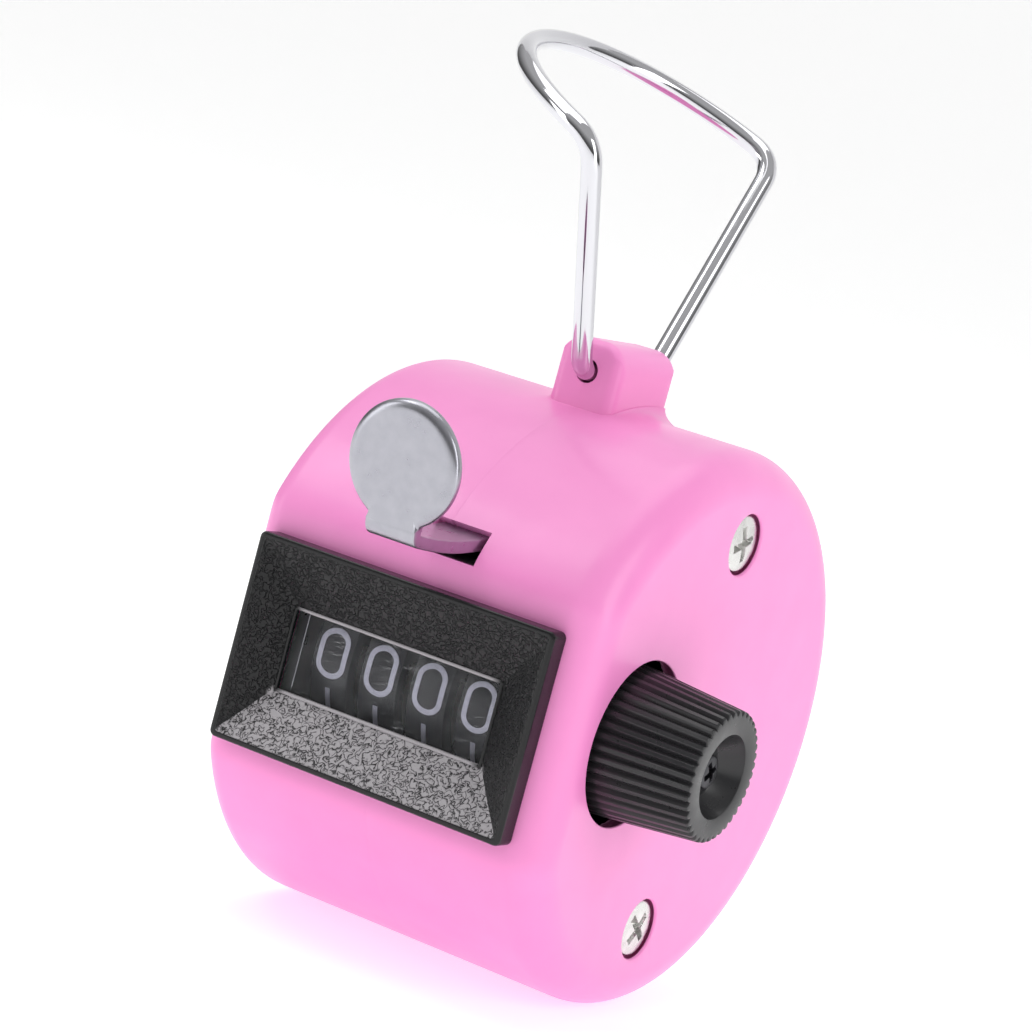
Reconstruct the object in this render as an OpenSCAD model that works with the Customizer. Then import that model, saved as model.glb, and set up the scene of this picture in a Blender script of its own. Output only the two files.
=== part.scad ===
// Hand tally counter: a four-digit thumb counter with a reset knob and a wire finger ring.
// Millimetres. X runs along the drum from the plain end to the knob, -Y faces the window, +Z is up.
// The origin is the centre of the plain left end face, on the drum's axis.

/* [Casing] */
// Diameter of the round casing
drum_d = 44; // [40:0.5:54]
// Length of the casing along its axis, between its end faces
casing_w = 30.2; // [29.4:0.1:38]
// Thickness of the casing's walls
wall = 1.6; // [1.2:0.1:2]
// Distance of the seam between the two halves from the left end face
seam_x = 15.35; // [14.6:0.05:16.2]
// Round on the edge of the left end face
left_edge_r = 1.8; // [1.7:0.1:2.4]
// Round on the edge of the right end face
right_edge_r = 3.1; // [2.2:0.1:3.6]
// Depth of the flat for the window, below the drum's round surface
flat_depth = 2.3; // [2:0.1:2.5]
// Length that the left half's lip reaches into the right half
lip_l = 1.2; // [0.8:0.1:1.6]

/* [Lug and finger ring] */
// Width of the lug across the seam
lug_w = 5.6; // [5:0.1:7]
// Length of the lug along the ring's hinge
lug_l = 9.2; // [8:0.1:11]
// Height of the lug above the drum
lug_h = 5; // [4.6:0.1:6]
// Round on the lug's two top edges
lug_r = 2; // [1:0.1:2.2]
// Height of the ring's hole above the drum
ring_hole_h = 2.5; // [2.3:0.1:2.8]
// Diameter of the ring's wire
wire_d = 1.6; // [1.4:0.1:2]
// Height of the two shoulders of the ring above its hinge
ring_leg_h = 17.9; // [15:0.1:22]
// Half the distance between the ring's shoulders
ring_half_w = 14.8; // [12:0.1:16]
// Angle of the finger loop above the horizontal, in degrees
ring_lean = 23; // [15:1:60]

/* [Window] */
// Width of the black window frame
frame_w = 26.1; // [25.6:0.1:26.4]
// Height of the window frame
frame_h = 15.9; // [15:0.1:16.8]
// Height of the frame's middle above the drum's middle
frame_z = -0.55; // [-0.8:0.05:-0.2]
// Thickness of the frame outside the casing
frame_t = 1.7; // [1.2:0.1:2.4]
// Width of the frame's front rim
frame_rim = 0.5; // [0.3:0.1:0.8]
// Distance of the frame's middle from the left end face
frame_x = 14.6; // [14.4:0.1:14.9]
// Width of the opening over the digits
view_w = 18.2; // [17.6:0.1:18.6]
// Height of the opening over the digits
view_h = 6.1; // [5:0.1:6.6]
// Thickness of the clear pane
pane_t = 0.7; // [0.5:0.1:0.8]

/* [Number wheels] */
// Diameter of the number wheels
wheel_d = 14.8; // [14:0.1:15]
// Distance from one number wheel to the next
wheel_pitch = 4.38; // [4.2:0.01:4.4]
// Distance of the thousands wheel's middle from the left end face
first_wheel_x = 7.87; // [7.8:0.01:7.95]
// Width of the ratchet beside the rim
ratchet_w = 0.85; // [0.7:0.01:0.9]
// Radius at the tips of the ratchet teeth
tooth_tip_r = 4; // [3.9:0.01:4]
// Radius at the roots of the ratchet teeth
tooth_root_r = 3.45; // [3.3:0.01:3.5]
// Distance of the shaft in front of the drum's axis
shaft_front = 10; // [9.8:0.1:10.1]
// Diameter of the reset shaft
shaft_d = 3; // [2.6:0.1:3.2]

/* [Reset knob] */
// Diameter of the knob at its tip
knob_tip_d = 10; // [9:0.1:11]
// Diameter of the knob where it leaves the casing
knob_root_d = 11.7; // [11:0.1:12]
// Length of the knob outside the casing
knob_out = 7.6; // [5:0.1:12]
// Number of grip ribs around the knob
knob_ribs = 40; // [24:1:48]
// Diameter of the knob's hole in the casing
knob_hole_d = 12.8; // [12.6:0.1:13.4]
// Diameter of the hollow in the knob's tip
knob_cup_d = 6.4; // [5:0.1:7]
// Depth of the hollow in the knob's tip
knob_cup_h = 1.8; // [1.2:0.1:3]

/* [Thumb lever] */
// Thickness of the lever's sheet metal
sheet_t = 0.95; // [0.8:0.05:1]
// Width of the arm through the slot
arm_w = 4.2; // [3.6:0.1:4.3]
// Distance of the arm's middle from the left end face
arm_x = 16.4; // [16.2:0.1:16.6]
// Diameter of the round thumb pad
pad_d = 9.2; // [8:0.1:11]
// Lean of the thumb pad away from upright, in degrees
pad_lean = 9.5; // [5:0.5:14]
// Width of the casing's slot for the arm
slot_w = 4.8; // [4.7:0.1:5.2]
// Height of the casing's slot
slot_h = 2.5; // [2.4:0.1:2.6]

/* [Fasteners] */
// Diameter of the heads of the casing screws
screw_head_d = 4.5; // [4:0.1:4.8]
// Diameter of the casing screws' threads
screw_d = 1.9; // [1.6:0.1:2.1]
// Length of the casing screws below the head
screw_l = 10; // [8:0.5:12]
// Distance of each casing screw above or below the shaft's level
screw_z = 15.2; // [15:0.1:15.4]
// Diameter of the pivot and pawl pins
pin_d = 1.6; // [1.4:0.1:1.8]
// Radial clearance of shafts and pins in their bores
run_gap = 0.05; // [0.02:0.01:0.08]
// Clearance around pieces that only sit in each other
seat_gap = 0.1; // [0.08:0.01:0.15]

/* [Hidden] */
$fn = 48;

drum_r = drum_d / 2;
flat_y = -(drum_r - flat_depth);
inner_r = drum_r - wall;
hinge_z = drum_r + ring_hole_h;
wire_r = wire_d / 2;
far = 2 * drum_d;

// The shaft, the lever's pivot and the pawl's pin, each as [y, z]
shaft = [-shaft_front, -0.25];
pivot = [-16, -9.5];
pawl_at = [-15.2, 8.6];
shaft_r = shaft_d / 2;
wheel_r = wheel_d / 2;
pin_r = pin_d / 2;
screw_y = -0.65;
post_r = 2.6;
post_end = casing_w - wall - seat_gap;
head_sunk = 0.15;
head_h = 0.95;
head_x = casing_w - head_sunk - head_h;

// Stations along the drum
plate_t = 0.8;
left_plate_x = 3.2;
right_plate_x = left_plate_x + 21;
leg_gap = 0.15;
left_leg_x = left_plate_x + plate_t + leg_gap;
right_leg_x = right_plate_x - leg_gap - sheet_t;
units_x = first_wheel_x + 3 * wheel_pitch;
digits = [0, 1, 2, 3];

// A wheel's rim fills the pitch, but for the ratchet beside it and a gap
rim_gap = 0.23;
rim_w = wheel_pitch - ratchet_w - rim_gap;

// The ratchet and its pawl. A wheel turns tooth_step while the lever turns press_angle,
// and the pawl turns pawl_ratio times as far on its pin.
press_angle = 8.5;
tooth_step = 36;
face_angle = 47;
pawl_ratio = 0.972;
pawl_lag = 2.1;
finger_step = 0.5;
pawl_tip_r = tooth_root_r + 0.17;
finger_w = 0.66;
finger_x = -rim_w / 2 - ratchet_w / 2;

// A point at radius r and clock angle a around the shaft: 0 is up and 90 is away from the window
function clock(r, a) = [shaft[0] + r * sin(a), shaft[1] + r * cos(a)];
// p turned by a about c, in the direction of the clock angle
function turned(p, c, a) =
    let (d = p - c)
    [c[0] + d[0] * cos(a) + d[1] * sin(a), c[1] - d[0] * sin(a) + d[1] * cos(a)];
// Where a point of the pawl lies at rest, given where it lies when the lever is fully pressed
function unpressed(p) =
    turned(turned(p, pivot, -press_angle), pawl_at, -pawl_ratio * press_angle);
function mix(a, b, t) = a + (b - a) * t;

// The reset dogs keep their place inside the rim, each on a pin on its wheel's web
dog_scale = (wheel_r - 1.7) / 5.7;
dog_pin = clock(4.7 * dog_scale, 200);

// An outline in the Y-Z plane carried along X
module along_x(x, w) {
    translate([x, 0, 0])
        rotate([90, 0, 90])
            linear_extrude(w)
                children();
}

// A rod along X at [y, z]
module rod(x, w, at, r) {
    translate([x, at[0], at[1]])
        rotate([0, 90, 0])
            cylinder(h = w, r = r);
}

// A rectangle from the origin with the two corners on its far side rounded by r0 and r1
module end_rounded(depth, len, r0, r1) {
    union() {
        translate([0, r0])
            square([depth, len - r0 - r1]);
        square([depth - r0, r0 + 0.01]);
        translate([depth - r0, r0])
            circle(r0);
        translate([0, len - r1 - 0.01])
            square([depth - r1, r1 + 0.01]);
        translate([depth - r1, len - r1])
            circle(r1);
    }
}

// The closed drum with its flat front, inset by a wall's thickness
module drum(inset) {
    r0 = max(left_edge_r - inset, 0.2);
    r1 = max(right_edge_r - inset, 0.2);
    len = casing_w - 2 * inset;
    intersection() {
        translate([inset, 0, 0])
            rotate([0, 90, 0])
                rotate_extrude($fn = 96)
                    intersection() {
                        end_rounded(drum_r - inset, len, r0, r1);
                        square([drum_r, casing_w]);
                    }
        translate([inset, 0, -drum_r])
            linear_extrude(drum_d)
                union() {
                    mirror([0, 1])
                        rotate([0, 0, 90])
                            mirror([0, 1])
                                end_rounded(-flat_y - inset, len, r0, r1);
                    square([len, drum_r]);
                }
    }
}

// The lug on top of the drum: rounded above, spreading into the drum below
module lug() {
    foot_w = 1.7;
    foot_h = 0.8;
    translate([seam_x, lug_l / 2, 0])
        rotate([90, 0, 0])
            linear_extrude(lug_l)
                union() {
                    translate([-lug_w / 2, drum_r - wall])
                        square([lug_w, lug_h + wall - lug_r]);
                    translate([-lug_w / 2 + lug_r, drum_r])
                        square([lug_w - 2 * lug_r, lug_h]);
                    for (side = [-1, 1])
                        translate([side * (lug_w / 2 - lug_r), drum_r + lug_h - lug_r])
                            circle(lug_r);
                }
    translate([seam_x, lug_l / 2, 0])
        rotate([90, 0, 0])
            linear_extrude(lug_l)
                polygon([
                    [-lug_w / 2 - foot_w, drum_r - wall], [lug_w / 2 + foot_w, drum_r - wall],
                    [lug_w / 2 + foot_w, drum_r - 0.6], [lug_w / 2, drum_r + foot_h],
                    [-lug_w / 2, drum_r + foot_h], [-lug_w / 2 - foot_w, drum_r - 0.6]
                ]);
}

// The window: the funnel's plug through the wall, wider than the view by these margins
plug_left = frame_x - 11.7;
plug_right = frame_x + 10.8;
plug_bottom = -6.1;
plug_top = 5.1;
frame_bottom = frame_z - frame_h / 2;
frame_front_y = flat_y - frame_t;
view_x = frame_x - 0.7;
view_z = -0.85;
pane_gap = 0.5;
leg_front_y = -17.4;
pane_front_y = min(-shaft_front - wheel_r - pane_gap, leg_front_y - 0.3) - pane_t;
pane_lap = 0.5;

// The arm's slot, above the flat
slot_bottom = 9.75;

module casing() {
    difference() {
        union() {
            drum(0);
            lug();
        }
        drum(wall);
        translate([plug_left - seat_gap, flat_y - 1, plug_bottom - seat_gap])
            cube([plug_right - plug_left + 2 * seat_gap, wall + 2,
                  plug_top - plug_bottom + 2 * seat_gap]);
        translate([arm_x - slot_w / 2, -drum_r, slot_bottom])
            cube([slot_w, 8, slot_h]);
        lug_hole();
    }
}

// The bore for the finger ring, through both halves of the lug
module lug_hole() {
    translate([seam_x, drum_r, hinge_z])
        rotate([90, 0, 0])
            cylinder(h = drum_d, r = wire_r + seat_gap);
}

// The overlapping lip behind the seam, clear of the window and the slot
module seam_lip(gap) {
    intersection() {
        difference() {
            rod(seam_x - 1, 1 + lip_l + gap, [0, 0], inner_r + wall / 2 + gap);
            rod(seam_x - 2, lip_l + 4, [0, 0], inner_r - gap);
        }
        translate([0, -12, -drum_r])
            cube([casing_w, drum_d, drum_d]);
    }
}

module left_shell() {
    color("hotpink")
        difference() {
            union() {
                intersection() {
                    casing();
                    translate([-1, -far / 2, -far / 2])
                        cube([seam_x + 1, far, far]);
                }
                seam_lip(0);
                for (side = [-1, 1])
                    rod(wall - 0.5, post_end - wall + 0.5, [screw_y, side * screw_z], post_r);
            }
            for (side = [-1, 1])
                rod(head_x - screw_l - 0.8, screw_l + wall, [screw_y, side * screw_z],
                    screw_d / 2 + 0.02);
        }
}

module right_shell() {
    color("hotpink")
        difference() {
            intersection() {
                casing();
                translate([seam_x, -far / 2, -far / 2])
                    cube([far, far, far]);
            }
            seam_lip(seat_gap);
            rod(casing_w - wall - 1, wall + 2, shaft, knob_hole_d / 2);
            for (side = [-1, 1]) {
                rod(casing_w - wall - 1, wall + 2, [screw_y, side * screw_z],
                    screw_d / 2 + seat_gap);
                rod(head_x, wall + 2, [screw_y, side * screw_z],
                    screw_head_d / 2 + seat_gap);
            }
        }
}

// A cross-recess in the end of a screw that points along +X
module cross_cut(x, at, reach, depth) {
    for (turn = [20, 110])
        translate([x - depth, at[0], at[1]])
            rotate([turn, 0, 0])
                translate([0, -reach, -0.28])
                    cube([depth + 1, 2 * reach, 0.56]);
}

module shell_screws() {
    color("silver")
        for (side = [-1, 1])
            difference() {
                union() {
                    rod(head_x, head_h, [screw_y, side * screw_z], screw_head_d / 2);
                    rod(head_x - screw_l, screw_l + 0.1, [screw_y, side * screw_z], screw_d / 2);
                }
                cross_cut(head_x + head_h, [screw_y, side * screw_z], 1.35, 0.6);
            }
}

// The funnel that narrows from the frame's rim to the view
module funnel() {
    out_w = frame_w - 2 * frame_rim;
    out_z0 = frame_bottom + frame_rim;
    out_z1 = frame_bottom + frame_h - frame_rim;
    depth = pane_front_y - frame_front_y;
    out = frame_front_y - 1;
    spread = 1 / depth;
    left_slope = (out_w - view_w) / 2 - (frame_x - view_x);
    right_slope = (out_w - view_w) / 2 + (frame_x - view_x);
    low_slope = view_z - view_h / 2 - out_z0;
    top_slope = out_z1 - view_z - view_h / 2;
    back = pane_front_y + 0.01;
    intersection() {
        translate([0, 0, -drum_r])
            linear_extrude(drum_d)
                polygon([
                    [view_x - view_w / 2, back], [view_x + view_w / 2, back],
                    [view_x + view_w / 2 + right_slope * (1 + spread), out],
                    [view_x - view_w / 2 - left_slope * (1 + spread), out]
                ]);
        along_x(-1, casing_w + 2)
            polygon([
                [back, view_z - view_h / 2], [back, view_z + view_h / 2],
                [out, view_z + view_h / 2 + top_slope * (1 + spread)],
                [out, view_z - view_h / 2 - low_slope * (1 + spread)]
            ]);
    }
}

module window_frame() {
    plug_depth = pane_front_y + pane_t - flat_y;
    color([0.1, 0.1, 0.11])
        difference() {
            union() {
                translate([frame_x - frame_w / 2, frame_front_y, frame_bottom])
                    cube([frame_w, frame_t, frame_h]);
                translate([plug_left, flat_y - 0.5, plug_bottom])
                    cube([plug_right - plug_left, plug_depth + 0.5, plug_top - plug_bottom]);
            }
            funnel();
            translate([view_x - view_w / 2 - pane_lap - seat_gap / 2, pane_front_y,
                       view_z - view_h / 2 - pane_lap - seat_gap / 2])
                cube([view_w + 2 * pane_lap + seat_gap, pane_t + 1,
                      view_h + 2 * pane_lap + seat_gap]);
        }
}

module window_pane() {
    color([0.8, 0.85, 0.9, 0.4])
        translate([view_x - view_w / 2 - pane_lap, pane_front_y, view_z - view_h / 2 - pane_lap])
            cube([view_w + 2 * pane_lap, pane_t, view_h + 2 * pane_lap]);
}

// Where the side plates are tied together and the retaining spring is clamped, as [y, z]
spacer_at = [[6, 8.5], [6, -8.5], [-1.5, -7.2]];
spacer_r = 1.6;
spacer_hole_r = 0.6;

// The outline that both side plates share, inside the drum and behind the window's plug
module side_plate(x) {
    color("gainsboro")
        difference() {
            along_x(x, plate_t)
                polygon([
                    [-17.5, -6.8], [-17.5, -10.2], [-13.5, -13.8], [-5.5, -18.6], [3.2, -18.6],
                    [9.5, -11], [9.5, 11], [3.2, 18.6], [-4.2, 18.6], [-4.8, 9], [-9, 6],
                    [-13.4, 3], [-13.4, -3.5]
                ]);
            rod(x - 1, plate_t + 2, shaft, shaft_r + run_gap);
            rod(x - 1, plate_t + 2, pivot, pin_r + 0.02);
            for (side = [-1, 1])
                rod(x - 1, plate_t + 2, [screw_y, side * screw_z], post_r + seat_gap);
            for (at = spacer_at)
                rod(x - 1, plate_t + 2, at, spacer_hole_r + 0.05);
        }
}

module left_side_plate() {
    side_plate(left_plate_x);
}

module right_side_plate() {
    side_plate(right_plate_x);
}

// Round bars between the side plates, tapped at both ends
module plate_spacers() {
    len = right_plate_x - left_plate_x - plate_t;
    thread_l = 3.5;
    color("silver")
        for (at = spacer_at)
            difference() {
                rod(left_plate_x + plate_t, len, at, spacer_r);
                rod(left_plate_x + plate_t - 1, thread_l + 1, at, spacer_hole_r + 0.02);
                rod(right_plate_x - thread_l, thread_l + 1, at, spacer_hole_r + 0.02);
            }
}

module spacer_screws() {
    head_t = 0.7;
    color("silver")
        for (at = spacer_at) {
            rod(left_plate_x - head_t, head_t, at, 1.3);
            rod(left_plate_x - 0.1, plate_t + 3, at, spacer_hole_r);
            rod(right_plate_x + plate_t, head_t, at, 1.3);
            rod(right_plate_x - 2.9, plate_t + 3, at, spacer_hole_r);
        }
}

// A number wheel: its rim, web and hub, and the ratchet on its left. deep lowers the notch
// behind the 9, which lets the pawl's next finger reach its own ratchet.
module wheel(n, deep) {
    x = first_wheel_x + n * wheel_pitch;
    rim_t = 1.1;
    web_t = 1;
    web_x = x - rim_w / 2;
    steps = [0:9];
    color([0.08, 0.08, 0.09])
        difference() {
            union() {
                difference() {
                    rod(web_x, rim_w, shaft, wheel_r);
                    rod(web_x + web_t, rim_w, shaft, wheel_r - rim_t);
                }
                rod(web_x + web_t - 0.1, 1.2, dog_pin, 0.5);
                along_x(web_x - ratchet_w, ratchet_w + 0.1)
                    polygon([
                        for (k = steps)
                            for (p = [[tooth_tip_r, 0], [mix(tooth_tip_r, tooth_root_r, 0.5), 17],
                                      [tooth_root_r - (k == 5 ? deep : 0), tooth_step - 0.3]])
                                clock(p[0], face_angle + k * tooth_step + p[1])
                    ]);
            }
            rod(web_x - 2, rim_w + 4, shaft, shaft_r + run_gap);
        }
}

module units_wheel() {
    wheel(3, 3 * finger_step);
}

module tens_wheel() {
    wheel(2, 2 * finger_step);
}

module hundreds_wheel() {
    wheel(1, finger_step);
}

module thousands_wheel() {
    wheel(0, 0);
}

// The small catch on a wheel's web that drops into the shaft's groove at zero
groove_w = 1;
groove_floor_r = 0.9;
module reset_dog(n) {
    x = first_wheel_x + n * wheel_pitch - rim_w / 2 + 1.05;
    color("white")
        difference() {
            along_x(x, 0.7)
                polygon([
                    for (p = [[5.7, 198], [5.6, 190], [4.7, 186], [3.8, 198], [3.3, 225], [2.9, 250]])
                        clock(p[0] * dog_scale, p[1]),
                    clock(groove_floor_r + 0.15, 250), clock(groove_floor_r + 0.15, 290),
                    for (p = [[3.2, 278], [4, 255], [4.9, 225]])
                        clock(p[0] * dog_scale, p[1])
                ]);
            rod(x - 1, 3, dog_pin, 0.55);
        }
}

module units_reset_dog() {
    reset_dog(3);
}

module tens_reset_dog() {
    reset_dog(2);
}

module hundreds_reset_dog() {
    reset_dog(1);
}

module thousands_reset_dog() {
    reset_dog(0);
}

shaft_end_x = 2.2;
clip_t = 0.5;
knob_x = right_plate_x + plate_t + 0.4;
knob_tip_x = casing_w + knob_out;
knob_floor_x = knob_tip_x - knob_cup_h;

module reset_shaft() {
    color("silver")
        difference() {
            rod(shaft_end_x, knob_floor_x - 1.2 - shaft_end_x, shaft, shaft_r);
            difference() {
                rod(shaft_end_x + 0.4, clip_t + 0.1, shaft, shaft_r + 1);
                rod(shaft_end_x, clip_t + 1, shaft, shaft_r - 0.4);
            }
            translate([left_plate_x + plate_t + 0.5, shaft[0] - shaft_r - 1, shaft[1] - groove_w / 2])
                cube([right_plate_x - left_plate_x - 2.6, shaft_r + 1 - groove_floor_r, groove_w]);
            rod(knob_floor_x - 5.2, 5, shaft, 0.62);
        }
}

// A C-shaped clip in a groove, open towards the side given by turn
module c_clip(x, at, hold_r, out_r, turn) {
    difference() {
        rod(x, clip_t, at, out_r);
        rod(x - 1, clip_t + 2, at, hold_r);
        translate([x - 1, at[0], at[1]])
            rotate([turn, 0, 0])
                translate([0, -hold_r * 0.8, 0])
                    cube([clip_t + 2, hold_r * 1.6, out_r + 1]);
    }
}

module shaft_clip() {
    color("silver")
        c_clip(shaft_end_x + 0.45, shaft, shaft_r - 0.4 + 0.02, shaft_r + 1.2, 180);
}

module shaft_washer() {
    washer_x = units_x + rim_w / 2 + 0.2;
    color("silver")
        difference() {
            rod(washer_x, right_plate_x - 0.1 - washer_x, shaft, 2.2);
            rod(washer_x - 1, right_plate_x + 1 - washer_x, shaft, shaft_r + 0.02);
        }
}

// The knob's ribbed body, tapering from the casing to its tip
module ribbed_taper(x, len, r0, r1) {
    rib_h = 0.28;
    steps = 2 * knob_ribs;
    translate([x, shaft[0], shaft[1]])
        rotate([90, 0, 90])
            linear_extrude(len, scale = r1 / r0)
                polygon([
                    for (k = [0:steps - 1])
                        for (e = [-0.3, 0.3])
                            let (r = r0 - (k % 2 == 0 ? 0 : rib_h), a = (k + e) * 360 / steps)
                            [r * cos(a), r * sin(a)]
                ]);
}

module reset_knob() {
    root_x = casing_w - wall;
    flange_t = 1;
    color([0.13, 0.13, 0.14])
        difference() {
            union() {
                ribbed_taper(root_x, knob_tip_x - root_x, knob_root_d / 2, knob_tip_d / 2);
                rod(knob_x, root_x - knob_x + 0.1, shaft, knob_root_d / 2 - 0.4);
                rod(knob_x, flange_t, shaft, knob_hole_d / 2 + 0.8);
            }
            rod(knob_floor_x, knob_cup_h + 1, shaft, knob_cup_d / 2);
            rod(knob_x - 1, knob_floor_x - 1.2 - knob_x + 1, shaft, shaft_r + 0.01);
            rod(knob_x, knob_tip_x - knob_x, shaft, 0.7);
        }
}

module knob_screw() {
    color([0.15, 0.15, 0.16])
        difference() {
            union() {
                rod(knob_floor_x, 0.8, shaft, 1.3);
                rod(knob_floor_x - 4.6, 4.7, shaft, 0.6);
            }
            cross_cut(knob_floor_x + 0.8, shaft, 0.8, 0.45);
        }
}

// The finger ring's wire: out of the lug, up both legs, round the leaning finger loop.
// The front leg is a little shorter than the back one, as the wire was bent.
front_out = lug_l / 2 + 0.9;
ring_back = 1.9;
ring_skew = 1.05;
front_top = [seam_x, ring_back - ring_half_w, hinge_z + ring_leg_h - ring_skew];
back_top = [seam_x, ring_back + ring_half_w, hinge_z + ring_leg_h + ring_skew];
front_foot = [seam_x, -front_out, hinge_z];
back_foot = [seam_x, front_out, hinge_z];
lean_dir = [-cos(ring_lean), 0, sin(ring_lean)];
loop_mid = (front_top + back_top) / 2;
loop_arm = (front_top - back_top) / 2;

// A point on the wire's rounded corner at c, between the points a and b
function corner(a, c, b, t) = (1 - t) * (1 - t) * a + 2 * t * (1 - t) * c + t * t * b;
// The point at distance d from a towards b
function along(a, b, d) = a + (b - a) * d / norm(b - a);
function loop(t) = loop_mid + loop_arm * cos(t) + norm(loop_arm) * lean_dir * sin(t);

foot_r = 1.3;
shoulder_r = 2.2;
shoulder_t = 9;
wire_path = [
    front_foot + [0, foot_r + 0.6, 0],
    for (t = [0:0.2:1])
        corner(front_foot + [0, foot_r, 0], front_foot, along(front_foot, front_top, foot_r), t),
    along(front_foot, front_top, 8),
    for (t = [0:0.2:1])
        corner(along(front_top, front_foot, shoulder_r), front_top, loop(shoulder_t), t),
    for (t = [18:9:162])
        loop(t),
    for (t = [0:0.2:1])
        corner(loop(180 - shoulder_t), back_top, along(back_top, back_foot, shoulder_r), t),
    along(back_foot, back_top, 8),
    for (t = [0:0.2:1])
        corner(along(back_foot, back_top, foot_r), back_foot, back_foot - [0, foot_r, 0], t),
    back_foot - [0, foot_r + 0.6, 0]
];

// A round tube along a path: a ring of sides around each point, square to the path there
module swept_tube(path, r, sides) {
    n = len(path);
    tangents = [
        for (i = [0:n - 1])
            let (d = path[min(i + 1, n - 1)] - path[max(i - 1, 0)])
            d / norm(d)
    ];
    // u stays as near as it can to the ring's own plane, so that the tube doesn't twist
    sideways = [
        for (t = tangents)
            let (c = cross(t, [1, 0, 0.35]))
            c / norm(c)
    ];
    points = [
        for (i = [0:n - 1])
            for (k = [0:sides - 1])
                let (u = sideways[i], v = cross(tangents[i], u), a = k * 360 / sides)
                path[i] + r * (cos(a) * u + sin(a) * v)
    ];
    faces = [
        [for (k = [0:sides - 1]) k],
        for (i = [0:n - 2])
            for (k = [0:sides - 1])
                let (j = (k + 1) % sides)
                [i * sides + k, (i + 1) * sides + k, (i + 1) * sides + j, i * sides + j],
        [for (k = [sides - 1:-1:0]) (n - 1) * sides + k]
    ];
    polyhedron(points, faces, convexity = 6);
}

module finger_ring() {
    journal_l = 2 * (front_out - foot_r - 0.3);
    journal_r = wire_r + 0.01;
    color("silver")
        union() {
            swept_tube(wire_path, wire_r, 12);
            translate([seam_x, journal_l / 2, hinge_z])
                rotate([90, 0, 0])
                    cylinder(h = journal_l, r = journal_r);
        }
}

// The lever is one sheet: a round pad, an arm that sags a little between the pad and the slot,
// a cross plate over the wheels and a leg at each end down to the pivot.
arm_end_y = -27.3;
arm_low_y = -23.2;
arm_low_z = 10.95;
arm_sag_r = 37;
cross_y = -16.2;
cross_end_y = -11.4;
pad_up = 4.45;
function arm_z(y) = arm_low_z + (y - arm_low_y) * (y - arm_low_y) / (2 * arm_sag_r);
cross_rise = 0.14;
function plate_z(y) = arm_z(cross_y) + (y - cross_y) * cross_rise;
leg_back_y = -14.2;

module lever_leg(x) {
    difference() {
        union() {
            along_x(x, sheet_t)
                polygon([
                    [cross_y, plate_z(cross_y) + sheet_t / 2 - 0.02],
                    [cross_end_y, plate_z(cross_end_y) + sheet_t / 2 - 0.02],
                    [-12.6, 8.4], [-13.6, 6], [leg_back_y, 2], [leg_back_y, -8.6], pivot,
                    [leg_front_y, -8.6], [leg_front_y, 4], [leg_front_y + 0.4, 8]
                ]);
            rod(x, sheet_t, pivot, 1.7);
        }
        rod(x - 1, 3, pivot, pin_r + run_gap);
        rod(x - 1, 3, pawl_at, pin_r + 0.02);
    }
}

module thumb_lever() {
    steps = [0:8];
    half = sheet_t / 2;
    pad_tilt = -pad_lean;
    bend_r = 1.1;
    pad_foot = [arm_end_y, arm_z(arm_end_y)];
    neck_flare = 0.9;
    color("gainsboro") {
        along_x(arm_x - arm_w / 2, arm_w)
            polygon([
                for (k = steps)
                    let (y = mix(arm_end_y, cross_y + 0.5, k / 8)) [y, arm_z(y) + half],
                for (k = steps)
                    let (y = mix(cross_y + 0.5, arm_end_y, k / 8)) [y, arm_z(y) - half]
            ]);
        along_x(left_leg_x, right_leg_x + sheet_t - left_leg_x)
            polygon([
                [cross_y, plate_z(cross_y) - half], [cross_y, plate_z(cross_y) + half],
                [cross_end_y, plate_z(cross_end_y) + half], [cross_end_y, plate_z(cross_end_y) - half]
            ]);
        for (x = [left_leg_x, right_leg_x])
            lever_leg(x);
        // the bend from the arm up into the pad
        translate([arm_x - arm_w / 2, pad_foot[0], pad_foot[1] + bend_r - half])
            rotate([90, 0, 90])
                linear_extrude(arm_w)
                    difference() {
                        circle(bend_r);
                        circle(bend_r - sheet_t);
                        translate([0, -2])
                            square([4, 4]);
                        translate([-4, 0.2])
                            square([8, 4]);
                    }
        // the pad's neck and disc
        translate([arm_x, pad_foot[0] - bend_r, pad_foot[1] + bend_r - half])
            rotate([-pad_tilt, 0, 0])
                rotate([90, 0, 180])
                    linear_extrude(sheet_t)
                        union() {
                            polygon([
                                [0.1 - arm_w / 2, -0.4], [arm_w / 2 - 0.1, -0.4],
                                [arm_w / 2 + neck_flare, 2.4], [-arm_w / 2 - neck_flare, 2.4]
                            ]);
                            translate([0, pad_up])
                                circle(pad_d / 2);
                        }
    }
}

module lever_pin() {
    color("silver")
        difference() {
            rod(left_plate_x - 1.2, right_plate_x + plate_t + 2.4 - left_plate_x, pivot, pin_r);
            for (x = pin_groove_x)
                difference() {
                    rod(x - 0.05, clip_t + 0.1, pivot, pin_r + 1);
                    rod(x - 1, clip_t + 2, pivot, pin_r - 0.25);
                }
        }
}

pin_groove_x = [left_plate_x - 0.6, right_plate_x + plate_t + 0.1];
module lever_pin_clips() {
    color("silver")
        for (x = pin_groove_x)
            c_clip(x, pivot, pin_r - 0.23, pin_r + 0.7, 0);
}

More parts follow.
